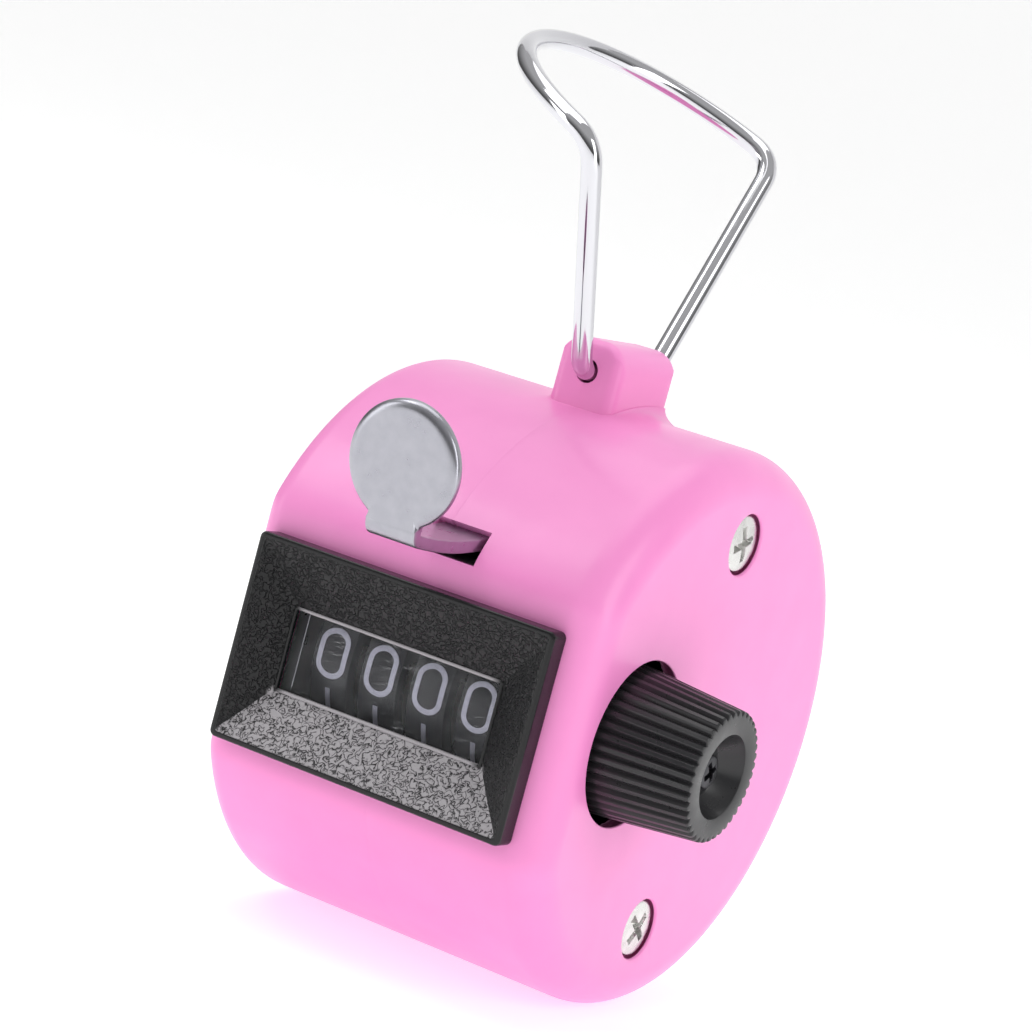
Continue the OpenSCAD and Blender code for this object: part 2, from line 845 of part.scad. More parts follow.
// The return spring: a coil on the lever's pin, with a short end hooked behind the left leg
// and a long end that lies on the lower screw's post
module lever_spring() {
    spring_r = 0.25;
    coil_r = 1.3;
    coil_step = 0.6;
    turns = 6;
    turn_steps = 16;
    short_l = 7;
    long_l = 18;
    hook_l = 1.5;
    bend_r = 0.7;
    x = left_leg_x + sheet_t + 0.65;
    to_post = [screw_y, -screw_z] - pivot;
    lean = asin((leg_back_y + spring_r + run_gap - pivot[0] - coil_r) / short_l);
    fall = atan2(-to_post[1], to_post[0])
        - asin((post_r + spring_r + run_gap - coil_r) / norm(to_post));
    last_a = 90 - fall - 360 * turns;
    steps = turns * turn_steps;
    coil = [
        for (k = [0:steps])
            let (a = mix(-lean, last_a, k / steps))
            [x + turns * coil_step * k / steps, pivot[0] + coil_r * cos(a), pivot[1] + coil_r * sin(a)]
    ];
    hook = coil[0] + short_l * [0, sin(lean), cos(lean)];
    hook_tip = hook - [hook_l, 0, 0];
    color("silver")
        swept_tube([
            hook_tip,
            for (t = [0:0.25:1])
                corner(along(hook, hook_tip, bend_r), hook, along(hook, coil[0], bend_r), t),
            each coil,
            coil[steps] + long_l * [0, cos(fall), -sin(fall)]
        ], spring_r, 8);
}

// One finger of the pawl, drawn where it lies when the lever is fully pressed. lift is how
// much further from the shaft its tip stays than the units finger's tip.
module pawl_finger(x, lift) {
    tip_a = face_angle + tooth_step - pawl_lag;
    under_r = tooth_tip_r + 0.3;
    tip_r = pawl_tip_r + lift;
    over_r = max(under_r, tip_r) + 1.2;
    pin_pressed = turned(pawl_at, pivot, press_angle);
    reach = norm(pin_pressed - shaft);
    pin_a = atan2(pin_pressed[0] - shaft[0], pin_pressed[1] - shaft[1]);
    leave_a = pin_a + acos(under_r / reach);
    outline = [
        clock(tip_r, tip_a),
        clock(max(under_r, tip_r), tip_a - 14 - (under_r - pawl_tip_r) * 6),
        for (t = [0:0.5:1])
            clock(max(under_r, tip_r), mix(tip_a - 24, leave_a, t)),
        clock(reach - 1, pin_a + 1),
        clock(reach + 0.9, pin_a + 4),
        for (t = [0:0.25:1])
            clock(mix(over_r + 0.5, over_r, t), mix(leave_a - 18, tip_a - 8, t)),
        clock(tip_r + 0.7, tip_a)
    ];
    along_x(x, finger_w)
        polygon([for (p = outline) unpressed(p)]);
}

// The pawl: a sleeve on its pin with one stepped finger for each wheel's ratchet
module drive_pawl() {
    sleeve_x = left_leg_x + sheet_t + 0.2;
    sleeve_r = pin_r + 0.5;
    color("gray")
        difference() {
            union() {
                rod(sleeve_x, right_leg_x - 0.2 - sleeve_x, pawl_at, sleeve_r);
                for (n = digits)
                    pawl_finger(first_wheel_x + n * wheel_pitch + finger_x - finger_w / 2,
                                (3 - n) * finger_step);
            }
            rod(sleeve_x - 1, casing_w, pawl_at, pin_r + run_gap);
        }
}

module pawl_pin() {
    color("silver")
        rod(left_leg_x, right_leg_x + sheet_t - left_leg_x, pawl_at, pin_r);
}

// The pawl's spring: a leaf from under the cross plate to the back of the thousands finger
module pawl_spring() {
    leaf_t = 0.25;
    leaf_w = 3;
    x = units_x - 3 * wheel_pitch + finger_x + 1;
    under = plate_z(cross_end_y) - sheet_t / 2;
    color("silver")
        along_x(x, leaf_w)
            polygon([
                [cross_end_y - 3.6, plate_z(cross_end_y - 3.6) - sheet_t / 2 - 0.01],
                [cross_end_y, under - 0.01], [cross_end_y + 0.8, under - 0.9],
                [cross_end_y + 0.6, under - 1.1], [cross_end_y - 0.1, under - leaf_t - 0.05],
                [cross_end_y - 3.6, plate_z(cross_end_y - 3.6) - sheet_t / 2 - leaf_t]
            ]);
}

// The retaining spring: one leaf for each ratchet, which stops the wheels turning back
clamp_at = spacer_at[2];
module retaining_spring() {
    leaf_t = 0.22;
    stop_a = face_angle + 4 * tooth_step - 2.5;
    stop = clock(tooth_root_r + 0.25, stop_a);
    root = [clamp_at[0] - 2.4, clamp_at[1] + spacer_r + 0.35];
    back = [clamp_at[0] + 2.4, root[1]];
    span = right_leg_x - left_leg_x - sheet_t - 3;
    color("silver") {
        along_x(left_leg_x + sheet_t + 1.5, span)
            polygon([root, back, back + [0, leaf_t], root + [0, leaf_t]]);
        for (n = digits)
            along_x(first_wheel_x + n * wheel_pitch + finger_x - finger_w / 2, finger_w)
                polygon([
                    root + [0.5, 0], root + [0.5, leaf_t], stop + [0.4, 0.02], stop,
                    stop + [0.02, -leaf_t]
                ]);
    }
}

// The bar that clamps the retaining spring onto the lower spacer
module spring_clamp() {
    leaf_t = 0.22;
    bar = [4, 1.2];
    bar_z = clamp_at[1] + spacer_r + 0.35 + leaf_t;
    len = right_leg_x - left_leg_x - sheet_t - 4;
    color("gainsboro")
        translate([left_leg_x + sheet_t + 2, clamp_at[0] - 1.7, bar_z])
            cube([len, bar[0], bar[1]]);
}

left_shell();
right_shell();
shell_screws();
window_frame();
window_pane();
left_side_plate();
right_side_plate();
plate_spacers();
spacer_screws();
finger_ring();
thumb_lever();
lever_pin();
lever_pin_clips();
lever_spring();
drive_pawl();
pawl_pin();
pawl_spring();
retaining_spring();
spring_clamp();
units_wheel();
tens_wheel();
hundreds_wheel();
thousands_wheel();
units_reset_dog();
tens_reset_dog();
hundreds_reset_dog();
thousands_reset_dog();
reset_shaft();
shaft_clip();
shaft_washer();
reset_knob();
knob_screw();
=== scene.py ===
import bpy
import numpy as np
from mathutils import Euler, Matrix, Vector
from mathutils.geometry import delaunay_2d_cdt


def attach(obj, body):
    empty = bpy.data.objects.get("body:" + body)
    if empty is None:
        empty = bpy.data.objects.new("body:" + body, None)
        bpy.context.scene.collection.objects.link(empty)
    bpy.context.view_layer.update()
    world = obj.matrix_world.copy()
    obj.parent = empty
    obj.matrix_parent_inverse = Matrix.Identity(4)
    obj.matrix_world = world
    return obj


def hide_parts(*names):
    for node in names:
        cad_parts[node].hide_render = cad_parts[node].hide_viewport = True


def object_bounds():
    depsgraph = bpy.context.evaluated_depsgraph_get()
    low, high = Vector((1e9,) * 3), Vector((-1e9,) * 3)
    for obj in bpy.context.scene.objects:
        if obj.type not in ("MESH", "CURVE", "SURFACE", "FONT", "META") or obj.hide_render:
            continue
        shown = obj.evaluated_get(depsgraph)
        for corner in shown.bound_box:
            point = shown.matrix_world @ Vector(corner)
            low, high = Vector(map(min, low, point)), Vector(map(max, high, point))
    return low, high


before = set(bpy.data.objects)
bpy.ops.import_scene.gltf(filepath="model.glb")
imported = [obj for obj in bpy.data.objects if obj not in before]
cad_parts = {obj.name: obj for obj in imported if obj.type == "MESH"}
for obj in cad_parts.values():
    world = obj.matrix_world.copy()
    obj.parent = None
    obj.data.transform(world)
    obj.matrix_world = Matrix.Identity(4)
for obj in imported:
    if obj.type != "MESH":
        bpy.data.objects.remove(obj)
cad_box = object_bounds()

mm = 0.001

# ---------------------------------------------------------------- Camera, floor and lights
# A long lens looks a little down on the window and the knob, and the picture is turned
# so that the counter leans, as it does when it hangs by its ring.

camera_at = np.array([140.65, -234.24, 41.14]) * mm
camera_aim = np.array([10.510, -0.658, 11.767]) * mm
camera_roll = 15.105
camera_lens = 120.69
sharp_angle = np.radians(26)

camera = bpy.data.objects.new("camera", bpy.data.cameras.new("camera"))
bpy.context.scene.collection.objects.link(camera)
camera.location = camera_at
look = Vector(camera_aim - camera_at).to_track_quat("-Z", "Y").to_matrix()
roll = Euler((0, 0, np.radians(camera_roll))).to_matrix()
camera.rotation_euler = (look @ roll).to_euler()
camera.data.sensor_width = 36
camera.data.lens = camera_lens
camera.data.clip_start = 0.01
bpy.context.scene.camera = camera
bpy.context.scene.view_settings.view_transform = "Standard"


def rows_and_columns(rows, columns, closed_rows=False, closed_columns=False):
    """Quads of a grid whose vertex number is row * columns + column. A closed direction joins its last line
    to its first."""
    i = np.arange(rows if closed_rows else rows - 1)[:, None]
    j = np.arange(columns if closed_columns else columns - 1)[None, :]
    down, right = (i + 1) % rows, (j + 1) % columns
    quads = np.stack([i * columns + j, i * columns + right, down * columns + right, down * columns + j], -1)
    return quads.reshape(-1, 4)


def new_mesh(name, points, faces, smooth=True):
    """An object at the origin from points in millimetres and lists of vertex numbers."""
    mesh = bpy.data.meshes.new(name)
    mesh.from_pydata((np.asarray(points, float) * mm).tolist(), [], [list(map(int, f)) for f in faces])
    mesh.polygons.foreach_set("use_smooth", np.full(len(mesh.polygons), smooth))
    mesh.validate()
    mesh.set_sharp_from_angle(angle=sharp_angle)
    mesh.update()
    thing = bpy.data.objects.new(name, mesh)
    bpy.context.scene.collection.objects.link(thing)
    return thing


def floor_sweep():
    """A floor at the drum's lowest point that turns up into a wall: y to the back, then a quarter circle of
    radius r, (y, z) = (r sin a, r - r cos a), then z."""
    front, back, r, wall_top, half_width = -900, 900, 400, 1600, 1600
    turn = np.radians(np.linspace(0, 90, 24))
    y = np.concatenate([[front], back + r * np.sin(turn), [back + r]])
    z = np.concatenate([[0], r - r * np.cos(turn), [wall_top]]) + cad_box[0][2] / mm
    x = np.array([-half_width, half_width])
    y, z = y[:, None] + 0 * x, z[:, None] + 0 * x
    return new_mesh("floor", np.stack([x + 0 * y, y, z], -1).reshape(-1, 3), rows_and_columns(len(y), 2))


def finish(name, **sockets):
    """A Principled material with these sockets, and its node tree and shader."""
    material = bpy.data.materials.new(name)
    material.use_nodes = True
    shader = material.node_tree.nodes["Principled BSDF"]
    for socket, value in sockets.items():
        shader.inputs[socket.replace("_", " ")].default_value = value
    return material, material.node_tree, shader


paper, tree, shader = finish(
    "floor_paper", Base_Color=(0.85, 0.85, 0.85, 1), Roughness=0.8,
    Emission_Color=(1, 1, 1, 1), Emission_Strength=0.5)
floor = floor_sweep()
floor.data.materials.append(paper)

world = bpy.data.worlds.new("studio")
world.use_nodes = True
sky = world.node_tree.nodes["Background"]
sky.inputs["Color"].default_value = (1, 1, 1, 1)
way = world.node_tree.nodes.new("ShaderNodeTexCoord")
height = world.node_tree.nodes.new("ShaderNodeSeparateXYZ")
brighter = world.node_tree.nodes.new("ShaderNodeMapRange")
brighter.inputs["From Min"].default_value, brighter.inputs["From Max"].default_value = 0.1, 0.6
brighter.inputs["To Min"].default_value, brighter.inputs["To Max"].default_value = 0.1, 0.5
world.node_tree.links.new(way.outputs["Generated"], height.inputs["Vector"])
world.node_tree.links.new(height.outputs["Z"], brighter.inputs["Value"])
world.node_tree.links.new(brighter.outputs["Result"], sky.inputs["Strength"])
bpy.context.scene.world = world


def soft_light(name, at, aim, width, height, power):
    """A rectangular lamp at a place in millimetres, facing another."""
    lamp = bpy.data.lights.new(name, "AREA")
    lamp.shape = "RECTANGLE"
    lamp.size, lamp.size_y, lamp.energy = width * mm, height * mm, power
    holder = bpy.data.objects.new(name, lamp)
    holder.location = Vector(at) * mm
    holder.rotation_euler = (Vector(aim) - Vector(at)).to_track_quat("-Z", "Y").to_euler()
    bpy.context.scene.collection.objects.link(holder)


lit_point = (15, 0, 5)
soft_light("light_above", (-60, 10, 380), lit_point, 420, 300, 0.58)
soft_light("light_key", (-190, -150, 290), lit_point, 130, 100, 0.16)
soft_light("light_left", (-300, -260, 60), lit_point, 120, 260, 0.26)
soft_light("light_right", (340, -60, 130), lit_point, 140, 320, 0.4)

# ---------------------------------------------------------------- Side plates and their spacers
# Two stamped steel plates, tied together by three turned bars and six small screws,
# carry every moving part. They are dull zinc-plated, with faint rolling lines, and their
# greys are painted dark as painted shade for the inside of the casing.


def object_coordinates(tree, scale=(1, 1, 1)):
    """A Mapping node on the object's own coordinates, with this scale per metre."""
    place = tree.nodes.new("ShaderNodeTexCoord")
    mapping = tree.nodes.new("ShaderNodeMapping")
    mapping.inputs["Scale"].default_value = scale
    tree.links.new(place.outputs["Object"], mapping.inputs["Vector"])
    return mapping.outputs["Vector"]


def noise(tree, vector, scale, detail=3, rough=0.5):
    """A Noise texture's value on a vector, in waves per metre."""
    node = tree.nodes.new("ShaderNodeTexNoise")
    node.inputs["Scale"].default_value = scale
    node.inputs["Detail"].default_value = detail
    node.inputs["Roughness"].default_value = rough
    tree.links.new(vector, node.inputs["Vector"])
    return node.outputs["Fac"]


def spread(tree, value, low, high, start=0.0, end=1.0):
    """value from low..high laid onto start..end, without going past them."""
    node = tree.nodes.new("ShaderNodeMapRange")
    node.inputs["From Min"].default_value, node.inputs["From Max"].default_value = low, high
    node.inputs["To Min"].default_value, node.inputs["To Max"].default_value = start, end
    tree.links.new(value, node.inputs["Value"])
    return node.outputs["Result"]


def mottled(tree, shader, waves, detail, rough, low=0.3, high=0.7):
    """Roughness that drifts between two values with a Noise texture. Returns the object's coordinates."""
    place = object_coordinates(tree)
    tree.links.new(spread(tree, noise(tree, place, waves, detail), low, high, *rough), shader.inputs["Roughness"])
    return place


def relief(tree, shader, height, depth, strength):
    """A Bump node of this depth in millimetres into the shader's normal."""
    node = tree.nodes.new("ShaderNodeBump")
    node.inputs["Distance"].default_value = depth * mm
    node.inputs["Strength"].default_value = strength
    tree.links.new(height, node.inputs["Height"])
    tree.links.new(node.outputs["Normal"], shader.inputs["Normal"])


def two_colours(tree, value, first, second):
    """first where value is 0 and second where it is 1."""
    node = tree.nodes.new("ShaderNodeValToRGB")
    node.color_ramp.elements[0].color = (*first, 1)
    node.color_ramp.elements[1].color = (*second, 1)
    tree.links.new(value, node.inputs["Fac"])
    return node.outputs["Color"]


def metal(name, dark, bright, rough, grain=(1, 1, 1), depth=0.003):
    """A metal whose colour runs between two greys, with roughness between two values, in a grain stretched
    by a scale."""
    material, tree, shader = finish(name, Metallic=1.0)
    place = object_coordinates(tree, grain)
    cloud = noise(tree, place, 900, 4)
    fine = noise(tree, place, 6000, 2)
    tree.links.new(two_colours(tree, spread(tree, cloud, 0.3, 0.7), dark, bright), shader.inputs["Base Color"])
    tree.links.new(spread(tree, cloud, 0.3, 0.7, *rough), shader.inputs["Roughness"])
    relief(tree, shader, fine, depth, 0.4)
    return material


def dress(material, *nodes):
    """Puts one material on CAD nodes."""
    for name in nodes:
        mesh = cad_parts[name].data
        mesh.materials.clear()
        mesh.materials.append(material)


# Painted shade: the plates' greys are kept dark for the shade inside the casing.
plate_steel = metal("plate_steel", (0.13, 0.13, 0.14), (0.2, 0.2, 0.21), (0.3, 0.42), (1, 1, 8))
turned_steel = metal("turned_steel", (0.52, 0.52, 0.54), (0.7, 0.7, 0.72), (0.16, 0.26), (8, 1, 1))
dress(plate_steel, "left_side_plate", "right_side_plate", "spring_clamp")
dress(turned_steel, "plate_spacers", "spacer_screws", "reset_shaft", "shaft_washer", "lever_pin", "pawl_pin")

# ---------------------------------------------------------------- Springs, clips and pawl
# Blued spring steel: the lever's return coil, the pawl's leaf, the leaf that holds the
# wheels, and the spring clips. The pawl is a case-hardened stamping, duller and darker.

spring_steel = metal("spring_steel", (0.34, 0.35, 0.38), (0.55, 0.56, 0.6), (0.2, 0.32), (1, 6, 1))
pawl_steel = metal("pawl_steel", (0.3, 0.3, 0.31), (0.45, 0.45, 0.46), (0.3, 0.45))
dress(spring_steel, "lever_spring", "pawl_spring", "retaining_spring", "shaft_clip", "lever_pin_clips")
dress(pawl_steel, "drive_pawl")

# ---------------------------------------------------------------- Number wheels
# Four moulded black wheels with a band round each rim, and white digits printed on the
# band. A nylon catch in each one drops into the shaft's groove when it is wound to zero.

shaft_at = np.array([-10.0, -0.25])
wheel_r = 7.4
band_w = 3.34
wheel_pitch = 4.38
first_wheel_x = 7.87
digit_h = 3.9
digit_w = 2.62
stroke = 0.43
band_proud = 0.03
print_h = 0.03
print_sunk = 0.1
wheel_names = ["thousands", "hundreds", "tens", "units"]

wheel_black, tree, shader = finish("wheel_black", Base_Color=(0.01, 0.01, 0.014, 1), Specular_IOR_Level=0.3)
place = mottled(tree, shader, 700, 4, (0.28, 0.44))
relief(tree, shader, noise(tree, place, 5000, 3), 0.01, 0.35)
nylon, tree, shader = finish("dog_nylon", Base_Color=(0.78, 0.78, 0.74, 1))
mottled(tree, shader, 900, 3, (0.38, 0.5))
dress(wheel_black, *[name + "_wheel" for name in wheel_names])
dress(nylon, *[name + "_reset_dog" for name in wheel_names])


def outward(points, faces):
    """A closed piece with its faces turned outward: all are turned over where its volume, the sum of
    a . (b x c) / 6 over its triangles, comes out negative."""
    faces = [list(face) for face in faces]
    triangles = np.array([(face[0], face[k], face[k + 1]) for face in faces for k in range(1, len(face) - 1)])
    a, b, c = (points[triangles[:, k]] for k in range(3))
    return points, faces if np.sum(a * np.cross(b, c)) > 0 else [face[::-1] for face in faces]


def turned_about(profile, axis, steps):
    """A closed profile of (x, r) points turned about a line along X at axis [y, z], as y = -r cos a and
    z = r sin a."""
    profile = np.asarray(profile, float)
    angle = np.linspace(0, 2 * np.pi, steps, endpoint=False)[:, None]
    x = np.repeat(profile[None, :, 0], steps, 0)
    r = profile[None, :, 1]
    points = np.stack([x, axis[0] - r * np.cos(angle), axis[1] + r * np.sin(angle)], -1)
    return outward(points.reshape(-1, 3), rows_and_columns(steps, len(profile), True, True))


def closed_tube(points, rows, columns):
    """A closed tube from its rings, which are rows of points: its sides and a flat face at each end."""
    sides = rows_and_columns(rows, columns, False, True)[:, ::-1].tolist()
    ends = [list(range(columns)), [rows * columns - 1 - k for k in range(columns)]]
    return outward(points.reshape(-1, 3), sides + ends)


def soft_rectangle(x0, x1, r0, r1, edge, steps=4):
    """The (x, r) outline of a band's section, with its two outer corners rounded."""
    turn = np.radians(np.linspace(0, 90, steps))
    left = np.stack([x0 + edge * (1 - np.sin(turn)), r1 - edge * (1 - np.cos(turn))], -1)[::-1]
    right = np.stack([x1 - edge * (1 - np.sin(turn)), r1 - edge * (1 - np.cos(turn))], -1)
    return np.concatenate([[[x0, r0]], left, right, [[x1, r0]]])


def arc(middle, radii, start, end, steps=20):
    """Points on an ellipse's arc, angles in degrees from its right-hand side, counter-clockwise."""
    angle = np.radians(np.linspace(start, end, steps))[:, None]
    return np.array(middle) + np.array(radii) * np.concatenate([np.cos(angle), np.sin(angle)], 1)


def digit_strokes(digit):
    """The centre lines of a digit's strokes in a box from (-1, -1) to (1, 1), and whether each closes."""
    top, low = (0, 0.5), (0, -0.42)
    strokes = {
        0: [(np.concatenate([arc((0, 0.44), (1, 0.56), 0, 180), arc((0, -0.44), (1, 0.56), 180, 360)]), True)],
        1: [(np.array([(0.0, 1.0), (0.0, -1.0)]), False)],
        2: [(np.concatenate([arc(top, (0.95, 0.5), 165, -35), [(-0.95, -1), (1, -1)]]), False)],
        3: [(np.concatenate([arc((0, 0.5), (0.88, 0.5), 160, -90), arc((0, -0.5), (1, 0.5), 90, -160)]), False)],
        4: [(np.array([(0.45, -1), (0.45, 1), (-1, -0.4), (1, -0.4)]), False)],
        5: [(np.concatenate([[(0.85, 1), (-0.75, 1), (-0.85, 0.12)], arc(low, (1, 0.58), 130, -150)]), False)],
        6: [(arc((0, -0.42), (0.95, 0.58), -180, 180), True), (arc((0.05, -0.3), (1.0, 1.3), 180, 62), False)],
        7: [(np.array([(-0.95, 1), (0.95, 1), (-0.25, -1)]), False)],
        8: [(arc((0, 0.5), (0.82, 0.5), 0, 360), True), (arc((0, -0.47), (1, 0.53), 0, 360), True)],
        9: [(arc((0, 0.42), (0.95, 0.58), 0, 360), True), (arc((-0.05, 0.3), (1.0, 1.3), 0, -118), False)],
    }
    return strokes[digit]


def printed_stroke(line, closed, x, clock):
    """A flat ribbon along a centre line, laid round the wheel: across becomes x and up becomes the angle up / r.
    Its section is a low box with its foot sunk in the band. At a bend the ribbon is half a stroke over the
    cosine of half the turn wide, and an open end runs on by a little under half a stroke."""
    line = np.asarray(line, float)
    if closed:
        line = line[:-1] if np.allclose(line[0], line[-1]) else line
        keep = np.linalg.norm(line - np.roll(line, 1, 0), axis=1) > 1e-6
        line = line[keep]
        ahead = np.roll(line, -1, 0)
        count = np.where(np.linalg.norm(ahead - line, axis=1) > 0.3, 6, 1)
        line = np.concatenate([a + (b - a) * np.arange(n)[:, None] / n for a, b, n in zip(line, ahead, count)])
        before, after = np.roll(line, 1, 0), np.roll(line, -1, 0)
    else:
        keep = np.concatenate([[True], np.linalg.norm(np.diff(line, axis=0), axis=1) > 1e-6])
        line = line[keep]
        parts = [line[:1]]
        for a, b in zip(line[:-1], line[1:]):
            parts.append(a + (b - a) * np.linspace(0, 1, 7)[1:, None])
        line = np.concatenate(parts)
        before, after = np.concatenate([line[:1], line[:-1]]), np.concatenate([line[1:], line[-1:]])
    size = np.array([(digit_w - stroke) / 2, (digit_h - stroke) / 2])
    line, before, after = line * size, before * size, after * size
    into = line - before
    out = after - line
    if not closed:
        into[0], out[-1] = out[0], into[-1]
        run_on = 0.42 * stroke
        line[0] -= into[0] / np.linalg.norm(into[0]) * run_on
        line[-1] += out[-1] / np.linalg.norm(out[-1]) * run_on
    into /= np.linalg.norm(into, axis=1)[:, None]
    out /= np.linalg.norm(out, axis=1)[:, None]
    along = into + out
    along /= np.linalg.norm(along, axis=1)[:, None]
    square = np.stack([-along[:, 1], along[:, 0]], -1)
    reach = stroke / 2 / np.clip(np.abs((along * into).sum(1)), 0.55, 1)
    shoulder = 0.4 * print_h
    section = [
        (-1, -print_sunk), (-1, shoulder), (-0.86, print_h), (0.86, print_h), (1, shoulder), (1, -print_sunk)]
    rows = []
    for side, up in section:
        flat = line + square * (side * reach)[:, None]
        angle = clock + flat[:, 1] / wheel_r
        r = wheel_r + band_proud + up
        y, z = shaft_at[0] - r * np.cos(angle), shaft_at[1] + r * np.sin(angle)
        rows.append(np.stack([x + flat[:, 0], y, z], -1))
    points, n = np.stack(rows, 1).reshape(-1, 3), len(section)
    if closed:
        return outward(points, rows_and_columns(len(line), n, True, True))
    return closed_tube(points, len(line), n)


def joined(parts):
    """Several (points, faces) as one."""
    points, faces, count = [], [], 0
    for p, f in parts:
        points.append(p)
        faces += [[count + v for v in face] for face in f]
        count += len(p)
    return np.concatenate(points), faces


digit_white, tree, shader = finish("digit_white", Roughness=0.5)
cloud = noise(tree, object_coordinates(tree), 2500, 3)
tone = two_colours(tree, spread(tree, cloud, 0.3, 0.7), (0.36, 0.36, 0.45), (0.46, 0.46, 0.56))
tree.links.new(tone, shader.inputs["Base Color"])

for number, name in enumerate(wheel_names):
    x = first_wheel_x + number * wheel_pitch
    band = new_mesh(name + "_band", *turned_about(
        soft_rectangle(x - band_w / 2, x + band_w / 2, wheel_r - 0.6, wheel_r + band_proud, 0.18), shaft_at, 180))
    band.data.materials.append(wheel_black)
    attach(band, name)
    parts = []
    for digit in range(10):
        for line, closed in digit_strokes(digit):
            parts.append(printed_stroke(line, closed, x, -np.radians(36 * digit)))
    digits = new_mesh(name + "_digits", *joined(parts), smooth=False)
    digits.data.materials.append(digit_white)
    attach(digits, name)

# ---------------------------------------------------------------- Casing
# Two glossy moulded halves meet in a fine line round the middle, through the lug that
# holds the ring. The front is flattened for the window, and the edges are well rounded.

drum_r = 22.0
flat_y = 19.7
casing_w = 30.2
seam_x = 15.35
wall = 1.6
left_edge_r = 1.8
right_edge_r = 3.1
lug_half = np.array([2.8, 4.6])
lug_top = 27.0
lug_arch_r = 2.0
lug_corner = 0.9
lug_top_round = 0.7
hinge_z = 24.5
lug_hole_r = 0.95
hole_square = 1.9
ledge = 0.1
flare = 0.8
slot_x = (14.0, 18.8)
slot_z = (9.75, 12.25)
plug_x = (2.9, 25.4)
plug_z = (-6.1, 5.1)
knob_hole_r = 6.4
screw_at = [np.array([-0.65, 15.2]), np.array([-0.65, -15.2])]
screw_hole_r = 2.4
foot_x = (10.2, 20.5)
foot_y = 6.6
seam_gap = 0.0015
seam_bevel = 0.12
seam_inset = 0.008
fillet_steps = 22
collar = 0.04


def outline_r(angle, inset=0.0):
    """Distance from the axis to the drum's outline: the circle, cut by the flat front, with the two corners
    eased by -log(exp(-k a) + exp(-k b)) / k. angle is 0 at the front and 90 degrees on top."""
    circle = drum_r - inset + 0 * angle
    front = np.where(np.cos(angle) > 0.3, (flat_y - inset) / np.maximum(np.cos(angle), 0.3), 99)
    k = 9.0
    return -np.log(np.exp(-k * (circle - 20)) + np.exp(-k * (front - 20))) / k + 20


def drum_points(x, inset, angle):
    """Points of the drum for stations (x, inset) by angles."""
    r = outline_r(angle[None, :], inset[:, None])
    return np.stack([np.repeat(x[:, None], len(angle), 1), -r * np.cos(angle), r * np.sin(angle)], -1)


def even(start, end, step):
    """Stations from start to end, about a step apart."""
    return np.linspace(start, end, max(2, int(round(abs(end - start) / step)) + 1))


foot_angle = np.degrees(np.arcsin(foot_y / drum_r))
slot_angles = np.degrees(np.arcsin(np.array(slot_z) / drum_r))
plug_angles = np.degrees(np.arctan(np.array(plug_z) / flat_y))
angles = np.radians(np.unique(np.round(np.concatenate([
    even(-180, -32, 2.5), even(-32, plug_angles[0], 1.2), even(plug_angles[0], plug_angles[1], 2.2),
    even(plug_angles[1], slot_angles[0], 1.2), even(slot_angles[0], slot_angles[1], 1.1),
    even(slot_angles[1], 90 - foot_angle, 2.2), even(90 - foot_angle, 90 + foot_angle, 1.3),
    even(90 + foot_angle, 180, 2.5)]), 4)))[:-1]


def stations(half):
    """The half's stations along X and how far each is inset: a narrow collar on the end face, the end's
    rounding, x = r (1 - cos a) and inset = r (1 - sin a), the straight wall, and the seam's small bevel."""
    turn = np.radians(np.linspace(0, 90, fillet_steps))
    if half == "left":
        x = np.concatenate([
            [0], left_edge_r * (1 - np.cos(turn)), even(left_edge_r, plug_x[0], 0.6)[1:],
            even(plug_x[0], foot_x[0], 0.8)[1:], even(foot_x[0], slot_x[0], 0.4)[1:],
            even(slot_x[0], seam_x - seam_bevel, 0.45)[1:], [seam_x - seam_gap]])
        inset = np.zeros(len(x))
        inset[:fillet_steps + 1] = np.concatenate([[left_edge_r + collar], left_edge_r * (1 - np.sin(turn))])
    else:
        x = np.concatenate([
            [seam_x + seam_gap], even(seam_x + seam_bevel, slot_x[1], 0.45), even(slot_x[1], foot_x[1], 0.45)[1:],
            even(foot_x[1], plug_x[1], 0.8)[1:], even(plug_x[1], casing_w - right_edge_r, 0.6)[1:],
            casing_w - right_edge_r * (1 - np.sin(turn[1:])), [casing_w]])
        inset = np.zeros(len(x))
        inset[-fillet_steps - 1:] = np.concatenate([right_edge_r * (1 - np.cos(turn)), [right_edge_r + collar]])
    inset[-1 if half == "left" else 0] = seam_inset
    return x, inset


def lug_height(x, y):
    """The lug's top: level, less r - sqrt(r^2 - d^2) at d past the start of each side's quarter circle, and the
    same to the front and back with a smaller r."""
    over_x = np.clip(np.abs(x) - (lug_half[0] - lug_arch_r), 0, lug_arch_r)
    over_y = np.clip(np.abs(y) - (lug_half[1] - lug_top_round), 0, lug_top_round)
    drop = lug_arch_r - np.sqrt(lug_arch_r ** 2 - over_x ** 2)
    return lug_top - drop - (lug_top_round - np.sqrt(lug_top_round ** 2 - over_y ** 2))


